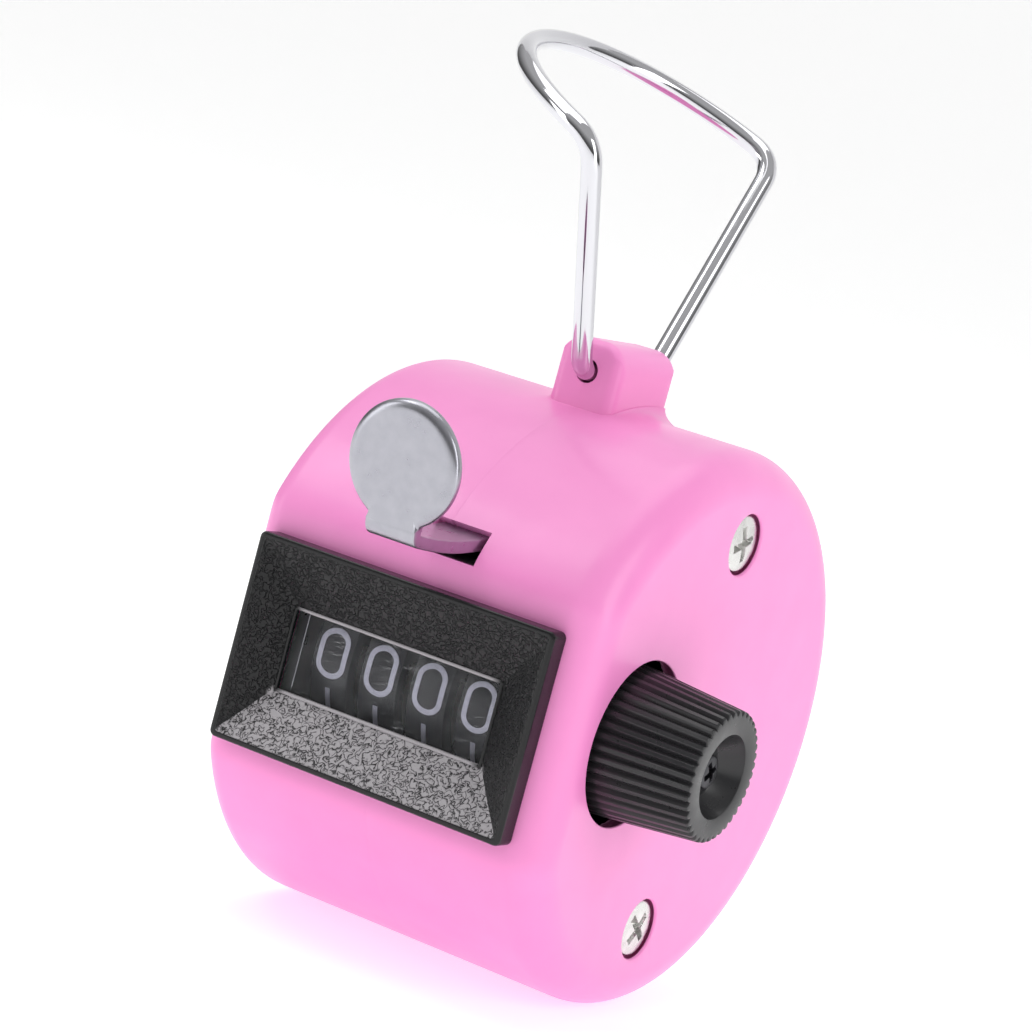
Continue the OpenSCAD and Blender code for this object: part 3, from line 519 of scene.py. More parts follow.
def lug_rings(border):
    """Rings from the border on the drum to the lug's middle line: a quarter-circle flare, upright walls with a
    small ledge at their foot, and the top. The border's points lie on one side of the seam and are measured from
    the lug's middle. The plan is their rectangle, each corner drawn in to a radius."""
    side = np.sign(border[:, 0].mean())
    a = np.abs(border[:, 0]) / np.abs(border[:, 0]).max()
    b = border[:, 1] / foot_y
    plan = np.stack([a * lug_half[0], b * lug_half[1]], -1)
    beyond = np.abs(plan) - (lug_half - lug_corner)
    both = (beyond > 0).all(1)
    length = np.maximum(np.linalg.norm(beyond, axis=1), 1e-9)
    scale = np.where(both, beyond.max(1) / length, 1)[:, None]
    eased = (lug_half - lug_corner) + beyond * scale
    plan = np.where(both[:, None], eased * np.stack([np.ones(len(b)), np.sign(b)], -1), plan)
    start = np.stack([np.abs(border[:, 0]), border[:, 1]], -1)
    base = plan + ledge * plan / lug_half
    behind = np.clip(0.5 + plan[:, 1] / (2 * lug_half[1]), 0, 1)
    rise = 0.12 + 1.2 * behind
    rings = []
    for turn in np.radians(np.linspace(0, 90, 14)):
        flat = base + (start - base) * flare * (1 - np.sin(turn))
        rings.append(np.column_stack([flat, np.sqrt(drum_r ** 2 - flat[:, 1] ** 2) + rise * (1 - np.cos(turn))]))
    foot = rings[-1][:, 2]
    top = lug_height(plan[:, 0], plan[:, 1])
    for t in np.linspace(0, 1, 18):
        rings.append(np.column_stack([plan, foot + (top - foot) * t]))
    along = np.append(0, np.cumsum(np.linalg.norm(np.diff(plan, axis=0), axis=1)))
    ridge = np.column_stack([0 * along, (lug_half[1] - 0.5) * (2 * along / along[-1] - 1)])
    for t in 1 - np.cos(np.radians(np.linspace(0, 90, 16)[1:])):
        flat = plan + (ridge - plan) * t
        rings.append(np.column_stack([flat, lug_height(flat[:, 0], flat[:, 1])]))
    rings = np.stack(rings)
    rings[..., 0] = np.maximum(rings[..., 0], seam_gap) * side + seam_x
    return rings


def round_hole(points, centre, square, r):
    """Draws a wall's grid in to a round hole of radius r. A point's distance from the centre is max(|a|, |b|) on
    the grid and sqrt(a^2 + b^2) at the hole. It blends from the one to the other between `square` and r."""
    away = points - centre
    size = np.abs(away).max(-1)
    share = np.clip((square - size) / (square - r), 0, 1)
    length = np.maximum(np.linalg.norm(away, axis=-1), 1e-9)
    rounded = away * (size / length)[..., None]
    return centre + away + (rounded - away) * share[..., None]


def casing_half(half):
    """One half's outer skin as (points, faces): the drum's grid without its openings, the lug's rings with the
    ring's hole, and the end face, on the right half with its three holes and their rounded edges."""
    x, inset = stations(half)
    grid = drum_points(x, inset, angles)
    rows, columns = grid.shape[:2]
    faces = rows_and_columns(rows, columns, False, True)
    middle_x = 0.5 * (x[:-1] + x[1:])[:, None] + 0 * angles[None, :]
    turned = np.degrees(angles + 0.5 * np.diff(np.append(angles, angles[0] + 2 * np.pi)))[None, :] + 0 * middle_x
    turned = (turned + 180) % 360 - 180

    def between(value, low, high):
        return (value > low) & (value < high)

    cut = between(middle_x, *slot_x) & between(turned, *slot_angles)
    cut |= between(middle_x, *plug_x) & between(turned, *plug_angles)
    foot = between(middle_x, *foot_x) & between(turned, 90 - foot_angle, 90 + foot_angle)
    points = [grid.reshape(-1, 3)]
    result = [f[::-1] for f in faces[~(cut | foot).reshape(-1)]]
    count = rows * columns

    i0 = int(np.argmin(np.abs(np.degrees(angles) - (90 - foot_angle))))
    i1 = int(np.argmin(np.abs(np.degrees(angles) - (90 + foot_angle))))
    if half == "left":
        j0 = int(np.argmin(np.abs(x - foot_x[0])))
        path = [(j, i0) for j in range(rows - 1, j0, -1)] + [(j0, i) for i in range(i0, i1)]
        path += [(j, i1) for j in range(j0, rows)]
    else:
        j0 = int(np.argmin(np.abs(x - foot_x[1])))
        path = [(j, i0) for j in range(0, j0)] + [(j0, i) for i in range(i0, i1)]
        path += [(j, i1) for j in range(j0, -1, -1)]
    border_number = np.array([j * columns + i for j, i in path])
    border = grid.reshape(-1, 3)[border_number]
    rings = lug_rings((border - [seam_x, 0, 0])[:, :2])
    hinge_at = np.array([seam_x, hinge_z])
    end_wall = np.abs(np.abs(rings[..., 1]) - lug_half[1]) < 0.02
    flat = rings[..., [0, 2]]
    rings[..., [0, 2]] = np.where(end_wall[..., None], round_hole(flat, hinge_at, hole_square, lug_hole_r), flat)
    ring_count, ring_len = rings.shape[:2]
    middle = 0.25 * (rings[:-1, :-1] + rings[1:, :-1] + rings[:-1, 1:] + rings[1:, 1:])
    in_hole = np.linalg.norm(middle[..., [0, 2]] - hinge_at, axis=-1) < lug_hole_r * 0.97
    in_hole &= np.abs(middle[..., 1]) > lug_half[1] - 0.2
    gone = np.zeros(rings.shape[:2], bool)
    kept = np.zeros(rings.shape[:2], bool)
    for i, j in ((0, 0), (1, 0), (0, 1), (1, 1)):
        window = (slice(i, ring_count - 1 + i), slice(j, ring_len - 1 + j))
        gone[window] |= in_hole
        kept[window] |= ~in_hole
    away = rings[..., [0, 2]] - hinge_at
    on_circle = hinge_at + lug_hole_r * away / np.maximum(np.linalg.norm(away, axis=-1), 1e-9)[..., None]
    rings[..., [0, 2]] = np.where((gone & kept)[..., None], on_circle, rings[..., [0, 2]])
    ring_numbers = count + np.arange((ring_count - 1) * ring_len).reshape(ring_count - 1, ring_len)
    numbers = np.concatenate([border_number[None], ring_numbers])
    points.append(rings[1:].reshape(-1, 3))
    count += (ring_count - 1) * ring_len
    quads = np.stack([numbers[:-1, :-1], numbers[1:, :-1], numbers[1:, 1:], numbers[:-1, 1:]], -1)[~in_hole]
    result += [f[::-1] if half == "right" else f for f in quads.reshape(-1, 4)]

    end_row = 0 if half == "left" else rows - 1
    rim = end_row * columns + np.arange(columns)
    if half == "left":
        result.append(list(rim))
    else:
        holes = [(shaft_at, knob_hole_r, 0.12, 96), *[(at, screw_hole_r, 0.2, 48) for at in screw_at]]
        flat_points = [grid[end_row][:, 1:]]
        loops = [np.arange(columns)]
        total = columns
        turn = np.radians(np.linspace(0, 90, 5))
        for centre, r, edge, steps in holes:
            angle = np.linspace(0, 2 * np.pi, steps, endpoint=False)
            loop = centre + (r + edge) * np.stack([np.cos(angle), np.sin(angle)], -1)
            flat_points.append(loop)
            loops.append(total + np.arange(steps))
            total += steps
        flat_points = np.concatenate(flat_points)
        edges = [(int(l[k]), int(l[(k + 1) % len(l)])) for l in loops for k in range(len(l))]
        found = delaunay_2d_cdt([Vector(p) for p in flat_points], edges, [], 0, 1e-7)
        vertices, triangles, source = found[0], found[2], found[3]
        where = np.array([s[0] if s else -1 for s in source])
        centres = np.array([np.mean([vertices[v] for v in t], 0) for t in triangles])
        keep = np.hypot(*centres.T) < outline_r(np.arctan2(centres[:, 1], -centres[:, 0]), right_edge_r)
        for centre, r, edge, steps in holes:
            keep &= np.hypot(*(centres - centre).T) > (r + edge) * np.cos(np.pi / steps) - 1e-6
        plane_number = np.concatenate([rim, count + np.arange(total - columns)])
        hole_points = flat_points[columns:]
        points.append(np.column_stack([np.full(len(hole_points), casing_w), hole_points]))
        count += len(hole_points)
        for t in np.array(triangles, dtype=object)[keep]:
            corners = np.array([vertices[v] for v in t])
            area = np.cross(corners[1] - corners[0], corners[2] - corners[0])
            number = [int(plane_number[where[v]]) for v in t]
            result.append(number if area > 0 else number[::-1])
        begin = count - len(hole_points)
        for centre, r, edge, steps in holes:
            angle = np.linspace(0, 2 * np.pi, steps, endpoint=False)
            previous = begin + np.arange(steps)
            for t in turn[1:]:
                radius = r + edge * (1 - np.sin(t))
                depth = casing_w - edge * (1 - np.cos(t))
                ring = np.column_stack([
                    np.full(steps, depth), centre[0] + radius * np.cos(angle), centre[1] + radius * np.sin(angle)])
                points.append(ring)
                now = count + np.arange(steps)
                count += steps
                result += np.stack([np.roll(previous, -1), np.roll(now, -1), now, previous], -1).tolist()
                previous = now
            begin += steps
    return np.concatenate(points), result


pink, tree, shader = finish("casing_pink", IOR=1.45, Coat_Weight=0.12, Coat_Roughness=0.1)
place = mottled(tree, shader, 300, 4, (0.3, 0.36))
cloud = noise(tree, place, 260, 4)
tone = two_colours(tree, spread(tree, cloud, 0.3, 0.7), (0.955, 0.3, 0.655), (0.98, 0.315, 0.675))
tree.links.new(tone, shader.inputs["Base Color"])
relief(tree, shader, noise(tree, place, 190, 2), 0.01, 0.2)


def shade_flats(piece):
    """A Weighted Normal modifier, so that large flat faces shade flat."""
    flats = piece.modifiers.new("flats", "WEIGHTED_NORMAL")
    flats.keep_sharp = True


for half, cad_node in (("left", "left_shell"), ("right", "right_shell")):
    skin = new_mesh(half + "_casing_half", *casing_half(half))
    skin.data.materials.append(pink)
    edge_of = np.zeros(len(skin.data.loops), np.int32)
    skin.data.loops.foreach_get("edge_index", edge_of)
    crisp = np.bincount(edge_of, minlength=len(skin.data.edges)) == 1
    sharp = skin.data.attributes.get("sharp_edge") or skin.data.attributes.new("sharp_edge", "BOOLEAN", "EDGE")
    known = np.zeros(len(crisp), bool)
    sharp.data.foreach_get("value", known)
    sharp.data.foreach_set("value", known | crisp)
    thickness = skin.modifiers.new("wall", "SOLIDIFY")
    thickness.thickness = wall * mm
    thickness.offset = -1
    shade_flats(skin)
    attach(skin, "housing")
    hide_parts(cad_node)


def end_faces(steps, n):
    """The flat faces at the first and the last of n profile points, turned in so many steps."""
    return [[k * n for k in range(steps)], [k * n + n - 1 for k in range(steps)][::-1]]


def capped(profile, axis, steps):
    """A profile of (x, r) points turned about a line along X and closed by a flat face at both ends."""
    points, n = turned_about(profile, axis, steps)[0], len(profile)
    return outward(points, rows_and_columns(steps, n, True, False).tolist() + end_faces(steps, n))


posts = new_mesh("casing_posts", *joined([
    capped([(1.2, 2.6), (28.3, 2.6), (28.5, 2.4)], at, 48) for at in screw_at]))
posts.data.materials.append(pink)
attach(posts, "housing")

# ---------------------------------------------------------------- Casing screws
# Two bright zinc-plated pan-head screws with a cross recess hold the halves together.
# They sit in round pockets in the right end, their heads just under the surface.

screw_head_r = 2.25
screw_head_x = 30.05
screw_head_h = 0.95
screw_shank_r = 0.95
screw_shank_l = 10.0


def cross_recess(u, v, reach, half_width, edge):
    """How deep a cross is cut at (u, v), from 0 to 1. Each arm is a slot whose depth falls along straight slopes
    to its sides and its end."""
    def arm(a, b):
        inside = np.minimum((reach - np.abs(a)) / (2.2 * edge), (half_width - np.abs(b)) / edge)
        return np.clip(inside, 0, 1)
    return np.maximum(arm(u, v), arm(v, u))


def cross_screw(axis, turn, head_x, head_r, head_h, shank_r, shank_l, reach, half_width, depth, dome):
    """A screw along X: a domed head with a cross cut in it, a rounded rim, the shank and a blunt tip."""
    top_steps, rim_round = 34, 0.16
    top = np.linspace(0.03, head_r - rim_round, top_steps)
    rim = np.radians(np.linspace(0, 90, 5)[1:])
    r = np.concatenate([
        top, head_r - rim_round * (1 - np.sin(rim)), [head_r, shank_r + 0.1, shank_r, shank_r, 0.5]])
    x = np.concatenate([
        head_x - dome * (top / head_r) ** 2, head_x - dome - rim_round * (1 - np.cos(rim)),
        head_x - head_h + np.array([0, 0, -0.1, -shank_l + 0.5, -shank_l])])
    steps = 128
    angle = np.linspace(0, 2 * np.pi, steps, endpoint=False)[:, None]
    a, b = r * np.cos(angle), r * np.sin(angle)
    u, v = a * np.cos(turn) + b * np.sin(turn), -a * np.sin(turn) + b * np.cos(turn)
    cut = depth * cross_recess(u, v, reach, half_width, 0.09) * (np.arange(len(r)) < top_steps)
    points = np.stack([np.repeat(x[None], steps, 0) - cut, axis[0] + a, axis[1] + b], -1)
    faces = rows_and_columns(steps, len(r), True, False).tolist()
    return outward(points.reshape(-1, 3), faces + end_faces(steps, len(r)))


zinc = metal("bright_zinc", (0.62, 0.62, 0.6), (0.8, 0.8, 0.78), (0.2, 0.36), (1, 1, 1), 0.01)
for name, axis, turn in (("casing_screw_top", screw_at[0], 0.35), ("casing_screw_bottom", screw_at[1], 0.9)):
    screw = new_mesh(name, *cross_screw(
        axis, turn, screw_head_x, screw_head_r, screw_head_h, screw_shank_r, screw_shank_l, 1.4, 0.3, 0.62, 0.18))
    screw.data.materials.append(zinc)
    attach(screw, "housing")
    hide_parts("shell_screws")

# ---------------------------------------------------------------- Thumb lever
# One strip of satin nickel-plated steel: a round thumb pad with rolled edges, a short neck,
# a tight bend, the arm through the slot, and inside a cross plate with a leg at each end.

sheet_t = 0.95
arm_x = 16.4
arm_half = 2.1
pad_r = 4.6
pad_up = 4.45
pad_lean = np.radians(9.5)
bend_at = np.array([-27.3, 11.802])
bend_r = 0.625
pad_foot = np.array([-28.4, 11.802])
leg_x = (4.15, 23.1)
cross_y = (-16.2, -11.4)
cross_slope = 0.14


def arm_z(y):
    """The arm's middle line, z = 10.95 + (y + 23.2)^2 / 74, which sags like a circle of 37 mm radius."""
    return 10.95 + (y + 23.2) ** 2 / 74


def pad_shape(turn):
    """Distance from the pad's centre to its edge: the larger of the disc and the neck, eased by
    log(exp(k a) + exp(k b)) / k. turn is 0 straight down."""
    s, c = np.abs(np.sin(turn)), np.cos(turn)
    neck = np.where(c > 0, np.minimum(pad_up / np.maximum(c, 1e-3), (arm_half + 0.02) / np.maximum(s, 1e-3)), 0)
    k = 7.0
    soft = np.log(np.exp(k * (neck - 5)) + np.exp(k * (pad_r - 5))) / k + 5
    return np.where(neck > pad_r + 0.45, neck, soft)


def thumb_pad():
    """Rings round the pad's centre: out over the front, round the rolled edge, and back over the rear face."""
    corner, shoulder = np.arctan2(arm_half, pad_up), 0.75
    turn = np.unique(np.round(np.concatenate([
        np.linspace(-corner, corner, 15), np.linspace(corner, shoulder, 14), np.linspace(-shoulder, -corner, 14),
        np.linspace(shoulder, 2 * np.pi - shoulder, 110)[1:-1]]), 6))
    edge = pad_shape(turn)
    at_foot = np.abs(np.arctan2(np.sin(turn), np.cos(turn))) < corner + 0.02
    roll = np.where(at_foot, 0.0, 1.0)
    round_up = np.radians(np.linspace(0, 90, 9))
    shares = [0.04, 0.3, 0.55, 0.75]
    rings = [(edge * share, 0 * edge) for share in shares]
    for t in round_up:
        rings.append((edge - roll * 0.85 * (1 - np.sin(t)), roll * 0.5 * (1 - np.cos(t))))
    for t in round_up[::-1]:
        rings.append((edge - roll * 0.2 * (1 - np.sin(t)), sheet_t - roll * 0.16 * (1 - np.cos(t))))
    rings += [(edge * share, 0 * edge + sheet_t) for share in shares[::-1]]
    reach = np.stack([r for r, d in rings])
    deep = np.stack([d for r, d in rings])
    u, v = reach * np.sin(turn), pad_up - reach * np.cos(turn)
    points = np.stack([
        arm_x + u, pad_foot[0] - v * np.sin(pad_lean) + deep * np.cos(pad_lean),
        pad_foot[1] + v * np.cos(pad_lean) + deep * np.sin(pad_lean)], -1)
    return closed_tube(points, len(rings), len(turn))


def strip(path, x_middle, half_width, thickness, edge):
    """A flat strip bent along a path in the Y-Z plane: a rectangle with rounded corners, square to the path."""
    path = np.asarray(path, float)
    along = np.gradient(path, axis=0)
    along /= np.linalg.norm(along, axis=1)[:, None]
    square = np.stack([-along[:, 1], along[:, 0]], -1)
    t = np.radians(np.linspace(0, 90, 4))
    corner = np.stack([edge * np.cos(t), edge * np.sin(t)], -1)
    a, b = half_width - edge, thickness / 2 - edge
    section = np.concatenate([
        corner + [a, b], corner[::-1] * [-1, 1] + [-a, b], -corner + [-a, -b], corner[::-1] * [1, -1] + [a, -b]])
    flat = path[:, None] + square[:, None] * section[None, :, 1:]
    points = np.stack([x_middle + section[None, :, 0] + 0 * path[:, :1], flat[..., 0], flat[..., 1]], -1)
    return closed_tube(points, len(path), len(section))


def plate_of(outline, x0, x1, edge=0.08):
    """A flat outline in Y and Z carried from x0 to x1, its long edges broken by a small bevel."""
    outline = np.asarray(outline, float)
    middle = outline.mean(0)
    into = outline + (middle - outline) / np.linalg.norm(middle - outline, axis=1)[:, None] * edge
    rings = [(x0, into), (x0 + edge, outline), (x1 - edge, outline), (x1, into)]
    points = np.concatenate([np.column_stack([np.full(len(ring), x), ring]) for x, ring in rings])
    return closed_tube(points, len(rings), len(outline))


arc_turn = np.radians(np.linspace(180, 270, 12))
foot_middle = pad_foot + sheet_t / 2 * np.array([np.cos(pad_lean), np.sin(pad_lean)])
cross_path = [(y, arm_z(cross_y[0]) + cross_slope * (y - cross_y[0])) for y in np.linspace(*cross_y, 3)]
bend_path = np.concatenate([
    [foot_middle], bend_at + bend_r * np.stack([np.cos(arc_turn), np.sin(arc_turn)], -1),
    [(y, arm_z(y)) for y in np.linspace(-27.0, cross_y[0], 26)], cross_path[-1:]])
hub = arc((-16, -9.5), (1.7, 1.7), 170, 370, 24)
leg_outline = np.concatenate([
    [(-16.2, 12.0), (-11.4, 12.7), (-12.6, 8.4), (-13.6, 6), (-14.2, 2), (-14.2, -8.6)], hub[::-1],
    [(-17.4, -8.6), (-17.4, 4), (-17, 8)]])
satin_nickel = metal("satin_nickel", (0.37, 0.37, 0.41), (0.42, 0.42, 0.46), (0.27, 0.31), (1, 1, 1), 0.008)
cross_half = (leg_x[1] + sheet_t - leg_x[0]) / 2
lever = new_mesh("thumb_lever_sheet", *joined([
    thumb_pad(), strip(bend_path, arm_x, arm_half, sheet_t, 0.1),
    strip(cross_path, leg_x[0] + cross_half, cross_half, sheet_t - 0.02, 0.08),
    *[plate_of(leg_outline, x, x + sheet_t) for x in leg_x]]))
lever.data.materials.append(satin_nickel)
shade_flats(lever)
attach(lever, "lever")
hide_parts("thumb_lever")

# ---------------------------------------------------------------- Window frame and pane
# A black moulded frame stands on the flat. Its four slopes run in to the digits and carry
# a wrinkled leather grain, and its rim and sides are smooth. The grain on the lower slope is
# painted light grey as a painted highlight, and the bead round the window is painted light
# grey for the pane's lip and a painted highlight. A clear pane closes the back.

frame_box = np.array([[1.55, -8.5], [27.65, 7.4]])
view_box = np.array([[4.8, -3.9], [23.0, 2.2]])
pane_box = np.array([[4.25, -4.45], [23.55, 2.75]])
plug_box = np.array([[2.95, -6.05], [25.35, 5.05]])
frame_front = -21.4
frame_foot = -19.72
rim_w = 0.5
mouth_gap = 0.26
mouth_y = -18.84
pane_front = -18.64
plug_back = -17.92
slope_steps = 14


def rounded_box(box, inset, corner, across=24, up=14, turn=6):
    """A rectangle's outline in X and Z with rounded corners, anticlockwise from the lower left."""
    low, high = box[0] + inset + corner, box[1] - inset - corner
    centres = [low, (high[0], low[1]), high, (low[0], high[1])]
    sides = []
    for k, (centre, start) in enumerate(zip(centres, (180, 270, 0, 90))):
        sides.append(arc(centre, (corner, corner), start, start + 90, turn))
        a = sides[-1][-1]
        b = np.array(centres[(k + 1) % 4]) + corner * np.array([(0, -1), (1, 0), (0, 1), (-1, 0)][k])
        count = across if k % 2 == 0 else up
        sides.append(a + (b - a) * np.linspace(0, 1, count)[1:-1, None])
    return np.concatenate(sides)


def ring_at(box, inset, corner, y):
    """One ring of the frame at depth y."""
    flat = rounded_box(box, inset, corner)
    return np.column_stack([flat[:, 0], np.full(len(flat), y), flat[:, 1]])


rim = ring_at(frame_box, rim_w, 0.3, frame_front + 0.03)
mouth = ring_at(view_box, -mouth_gap, 0.1, mouth_y)
outside = [
    ring_at(frame_box, 0, 0.5, frame_foot), ring_at(frame_box, 0, 0.5, frame_front + 0.2),
    ring_at(frame_box, 0.03, 0.48, frame_front + 0.09), ring_at(frame_box, 0.1, 0.45, frame_front + 0.02),
    ring_at(frame_box, 0.18, 0.42, frame_front), ring_at(frame_box, 0.42, 0.32, frame_front)]
slopes = [rim + (mouth - rim) * t for t in np.linspace(0, 1, slope_steps)]
bead = [
    ring_at(view_box, -mouth_gap / 2 * (1 + np.cos(t)), 0.1, mouth_y - 0.11 * np.sin(t))
    for t in np.radians(np.linspace(0, 180, 7))[1:]]
inside = [
    ring_at(view_box, 0, 0.1, pane_front), ring_at(pane_box, 0, 0.1, pane_front),
    ring_at(pane_box, 0, 0.1, plug_back), ring_at(plug_box, 0, 0.3, plug_back),
    ring_at(plug_box, 0, 0.3, frame_foot)]
rings = [*outside, *slopes, *bead, *inside]
points = np.concatenate(rings)
bezel = new_mesh("window_bezel", points, rows_and_columns(len(rings), len(rim), True, True))
ring_of = np.repeat(np.arange(len(rings)), len(rim)) - len(outside)
grained = (ring_of >= 0) & (ring_of < slope_steps)
share = (points[:, 1] - rim[0, 1]) / (mouth[0, 1] - rim[0, 1])
low_rim, low_mouth = frame_box[0, 1] + rim_w, view_box[0, 1] - mouth_gap
# Painted highlight: on the lower slope the grain's ridges are painted light grey, for the light that slope
# reflects.
lower_slope_highlight = grained & (np.abs(points[:, 2] - (low_rim + share * (low_mouth - low_rim))) < 0.12)
# The bead along the window's top and bottom edges is painted light grey: partly the pane's light moulded lip,
# partly a painted highlight along the edge.
lip = (ring_of >= slope_steps) & (ring_of <= slope_steps + len(bead))
lip &= (points[:, 0] >= view_box[0, 0] + 0.1) & (points[:, 0] <= view_box[1, 0] - 0.1)
for mark, where in (("grained", grained), ("lower_slope_highlight", lower_slope_highlight), ("lip", lip)):
    bezel.data.attributes.new(mark, "FLOAT", "POINT").data.foreach_set("value", where.astype(np.float32))



def maths(tree, operation, *values):
    """A Math node of this operation on sockets and numbers."""
    node = tree.nodes.new("ShaderNodeMath")
    node.operation = operation
    for slot, value in zip(node.inputs, values):
        if isinstance(value, (int, float)):
            slot.default_value = value
        else:
            tree.links.new(value, slot)
    return node.outputs[0]


def painted(tree, name):
    """A point attribute's value."""
    node = tree.nodes.new("ShaderNodeAttribute")
    node.attribute_name = name
    return node.outputs["Fac"]


frame_black, tree, shader = finish("frame_black", IOR=1.42)
worms = tree.nodes.new("ShaderNodeTexNoise")
worms.inputs["Scale"].default_value = 2500
worms.inputs["Detail"].default_value = 1.0
worms.inputs["Distortion"].default_value = 0.6
tree.links.new(object_coordinates(tree), worms.inputs["Vector"])
folded = maths(tree, "ABSOLUTE", maths(tree, "SUBTRACT", worms.outputs["Fac"], 0.5))
# Painted highlight: the grain's ridges on the lower slope turn light grey.
grain_highlight = maths(tree, "MULTIPLY", spread(tree, folded, 0.01, 0.06), painted(tree, "lower_slope_highlight"))
# The bead's light grey is partly the pane's lip and partly a painted highlight.
lighter = maths(tree, "MAXIMUM", grain_highlight, painted(tree, "lip"))
tone = two_colours(tree, lighter, (0.008, 0.008, 0.009), (0.42, 0.4, 0.42))
tree.links.new(tone, shader.inputs["Base Color"])
leather = painted(tree, "grained")
tree.links.new(spread(tree, leather, 0, 1, 0.26, 0.3), shader.inputs["Roughness"])
relief(tree, shader, maths(tree, "MULTIPLY", spread(tree, folded, 0, 0.1), leather), 0.07, 0.9)
bezel.data.materials.append(frame_black)
shade_flats(bezel)
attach(bezel, "housing")
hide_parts("window_frame")

pane_profile = [(0.11, -18.6), (0.05, -18.54), (0.05, -17.96), (0.11, -17.9)]
pane_rings = [ring_at(pane_box, inset, 0.12, y) for inset, y in pane_profile]
pane = new_mesh("window_glazing", *closed_tube(np.concatenate(pane_rings), 4, len(rim)), smooth=False)
acrylic, tree, shader = finish("clear_acrylic", Base_Color=(0.9, 0.92, 0.95, 1), Roughness=0.08)
scratches = spread(tree, noise(tree, object_coordinates(tree, (90, 1, 900)), 7, 2, 0.6), 0.66, 0.74)
film = spread(tree, noise(tree, object_coordinates(tree), 500, 4), 0.35, 0.75, 0.015, 0.045)
tree.links.new(maths(tree, "MULTIPLY_ADD", scratches, 0.25, film), shader.inputs["Alpha"])
pane.data.materials.append(acrylic)
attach(pane, "housing")
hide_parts("window_pane")

# ---------------------------------------------------------------- Finger ring
# One length of bright nickel-plated wire: a foot in the lug, a leg up each side, a tight
# shoulder, and a half-round loop that leans forward for the finger.

wire_r = 0.8
front_out = 5.5
stub_end = 1.2
front_foot = np.array([seam_x, -front_out, hinge_z])
back_foot = np.array([seam_x, front_out, hinge_z])
front_top = np.array([seam_x, -12.9, 41.35])
back_top = np.array([seam_x, 16.7, 43.45])
foot_bend = 1.3
shoulder_bend = 2.2
lean = np.radians(23)
lean_way = np.array([-np.cos(lean), 0, np.sin(lean)])
loop_middle = (front_top + back_top) / 2
loop_arm = (front_top - back_top) / 2


def loop(t):
    """A half ellipse from the front shoulder, through the lean, to the back one: m + a cos t + |a| l sin t, with
    t in degrees, m between the shoulders, a from there to the front one and l along the lean."""
    t = np.radians(np.atleast_1d(t))[:, None]
    return loop_middle + loop_arm * np.cos(t) + np.linalg.norm(loop_arm) * lean_way * np.sin(t)


def toward(a, b, d):
    """The point at distance d from a towards b."""
    return a + (b - a) * d / np.linalg.norm(b - a)


def eased_corner(a, corner_point, b, steps=12):
    """The curve (1 - t)^2 a + 2 t (1 - t) c + t^2 b round a corner c."""
    t = np.linspace(0, 1, steps)[:, None]
    return (1 - t) ** 2 * a + 2 * t * (1 - t) * corner_point + t ** 2 * b


def wire_tube(path, r, sides=32):
    """A round tube: circles of radius r square to the path, c + r (s cos a + o sin a), each ring's first spoke s
    kept level with the loop's lean."""
    path = np.asarray(path)
    along = np.gradient(path, axis=0)
    along /= np.linalg.norm(along, axis=1)[:, None]
    spoke = np.cross(along, np.array([1, 0, 0.35]))
    spoke /= np.linalg.norm(spoke, axis=1)[:, None]
    other = np.cross(along, spoke)
    a = np.linspace(0, 2 * np.pi, sides, endpoint=False)[None, :, None]
    points = path[:, None] + r * (np.cos(a) * spoke[:, None] + np.sin(a) * other[:, None])
    return closed_tube(points, len(path), sides)


path = np.concatenate([
    [[seam_x, -stub_end, hinge_z], [seam_x, -3.5, hinge_z]],
    eased_corner(front_foot + [0, foot_bend, 0], front_foot, toward(front_foot, front_top, foot_bend)),
    [toward(front_foot, front_top, 5), toward(front_foot, front_top, 10)],
    eased_corner(toward(front_top, front_foot, shoulder_bend), front_top, loop(9)[0]),
    loop(np.linspace(10.5, 169.5, 107)),
    eased_corner(loop(171)[0], back_top, toward(back_top, back_foot, shoulder_bend)),
    [toward(back_foot, back_top, 10), toward(back_foot, back_top, 5)],
    eased_corner(toward(back_foot, back_top, foot_bend), back_foot, back_foot - [0, foot_bend, 0]),
    [[seam_x, 3.5, hinge_z], [seam_x, stub_end, hinge_z]]])
chrome, tree, shader = finish("wire_nickel", Metallic=1.0, Base_Color=(0.66, 0.66, 0.69, 1))
place = mottled(tree, shader, 1200, 4, (0.05, 0.12), 0.35, 0.75)
relief(tree, shader, noise(tree, place, 500, 2), 0.006, 0.25)
wire = new_mesh("finger_ring_wire", *wire_tube(path, wire_r))
wire.data.materials.append(chrome)
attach(wire, "ring")
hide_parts("finger_ring")

# ---------------------------------------------------------------- Reset knob and its screw
# A charcoal moulded knob with rounded grip ribs that taper towards a flat, toothed tip. A
# blackened screw at the bottom of the tip's hollow holds it on the shaft.

knob_ribs = 40
knob_tip_x = 37.8
knob_root_x = 28.6
knob_tip_r = 5.0
knob_root_r = 5.85
knob_floor_x = 36.0
rib_h = 0.3
tip_round = 0.18


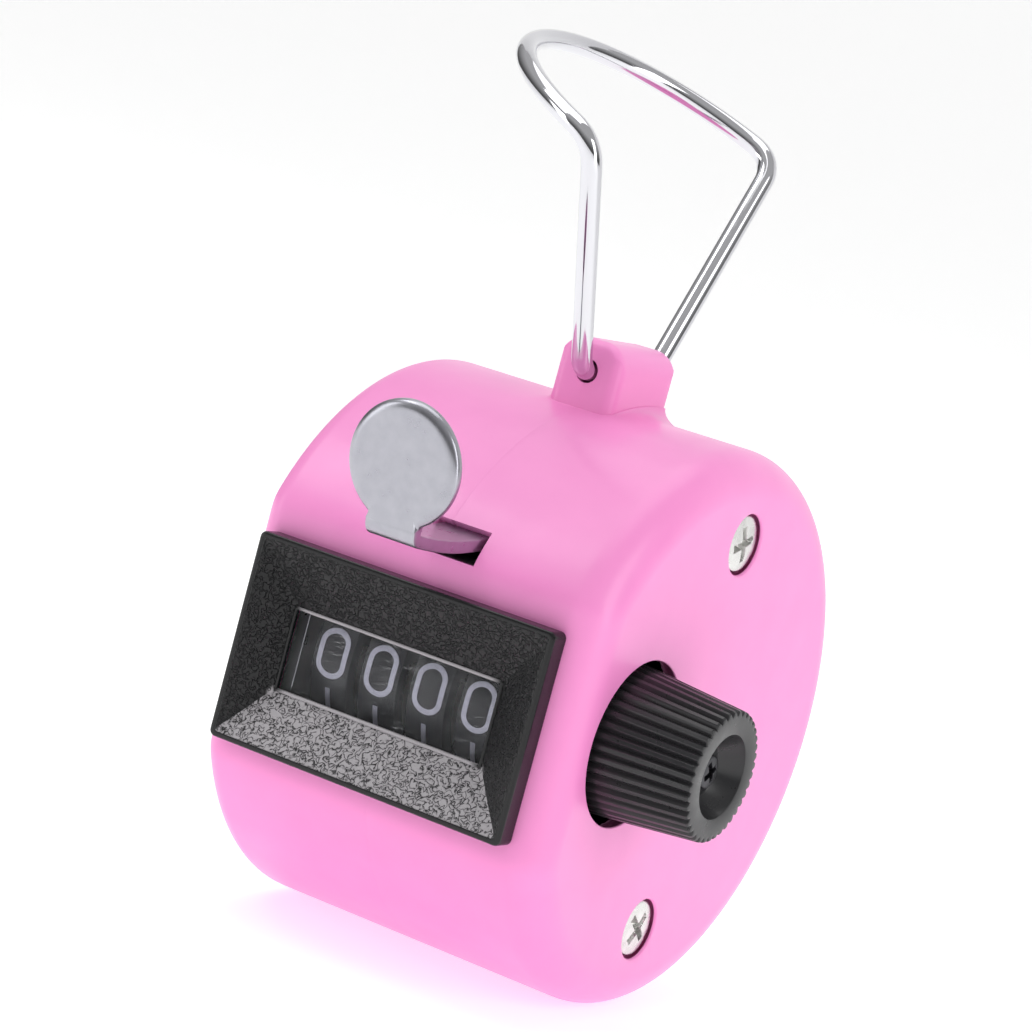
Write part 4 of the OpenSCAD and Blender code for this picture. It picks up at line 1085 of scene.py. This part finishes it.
def knob_surface(steps_per_rib=12):
    """The knob's closed outline of (x, r, share) turned about the shaft. Between ribs the radius falls by
    share * rib_h * (1 - ridge), where ridge is 0.75 + 0.75 cos(ribs * a), cut at 1, to the power of 0.8."""
    edge = np.radians(np.linspace(0, 90, 4))
    grip_x = np.linspace(knob_root_x, knob_tip_x - tip_round, 12)
    grip_r = knob_root_r + (knob_tip_r - knob_root_r) * (grip_x - knob_root_x) / (knob_tip_x - knob_root_x)
    outer = np.column_stack([grip_x, grip_r, np.ones(12)])
    chamfer = np.column_stack([
        knob_tip_x - tip_round * (1 - np.sin(edge[1:])), knob_tip_r - tip_round * (1 - np.cos(edge[1:])),
        [1, 0.95, 0.85]])
    face = [
        (knob_tip_x, 4.45, 0), (knob_tip_x, 3.34, 0), (knob_tip_x - 0.05, 3.22, 0), (knob_tip_x - 0.2, 3.17, 0)]
    cup = [
        (37.0, 2.85, 0), (knob_floor_x + 0.12, 2.3, 0), (knob_floor_x + 0.02, 2.2, 0), (knob_floor_x, 2.05, 0),
        (knob_floor_x, 0.7, 0)]
    inside = [
        (34.82, 0.7, 0), (34.8, 1.51, 0), (25.4, 1.51, 0), (25.4, 7.15, 0), (26.35, 7.15, 0), (26.4, 5.45, 0),
        (28.5, 5.45, 0)]
    profile = np.concatenate([outer, chamfer, face, cup, inside])
    steps = knob_ribs * steps_per_rib
    angle = np.linspace(0, 2 * np.pi, steps, endpoint=False)[:, None]
    wave = 0.5 + 0.5 * np.cos(knob_ribs * angle)
    ridge = np.clip(wave * 1.5, 0, 1) ** 0.8
    r = profile[None, :, 1] - rib_h * (1 - ridge) * profile[None, :, 2]
    x = np.repeat(profile[None, :, 0], steps, 0)
    points = np.stack([x, shaft_at[0] - r * np.cos(angle), shaft_at[1] + r * np.sin(angle)], -1)
    return outward(points.reshape(-1, 3), rows_and_columns(steps, len(profile), True, True))


charcoal, tree, shader = finish("knob_charcoal", Base_Color=(0.02, 0.02, 0.022, 1), IOR=1.5)
place = mottled(tree, shader, 900, 4, (0.26, 0.36))
relief(tree, shader, noise(tree, place, 2500, 3), 0.01, 0.35)
knob = new_mesh("reset_knob_grip", *knob_surface())
knob.data.materials.append(charcoal)
shade_flats(knob)
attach(knob, "reset")
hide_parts("reset_knob")

black_steel = metal("black_steel", (0.05, 0.05, 0.055), (0.1, 0.1, 0.11), (0.3, 0.45), (1, 1, 1), 0.006)
screw = new_mesh("knob_cross_screw", *cross_screw(
    shaft_at, 0.6, knob_floor_x + 0.8, 1.3, 0.78, 0.6, 4.5, 0.85, 0.24, 0.45, 0.12))
screw.data.materials.append(black_steel)
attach(screw, "reset")
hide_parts("knob_screw")
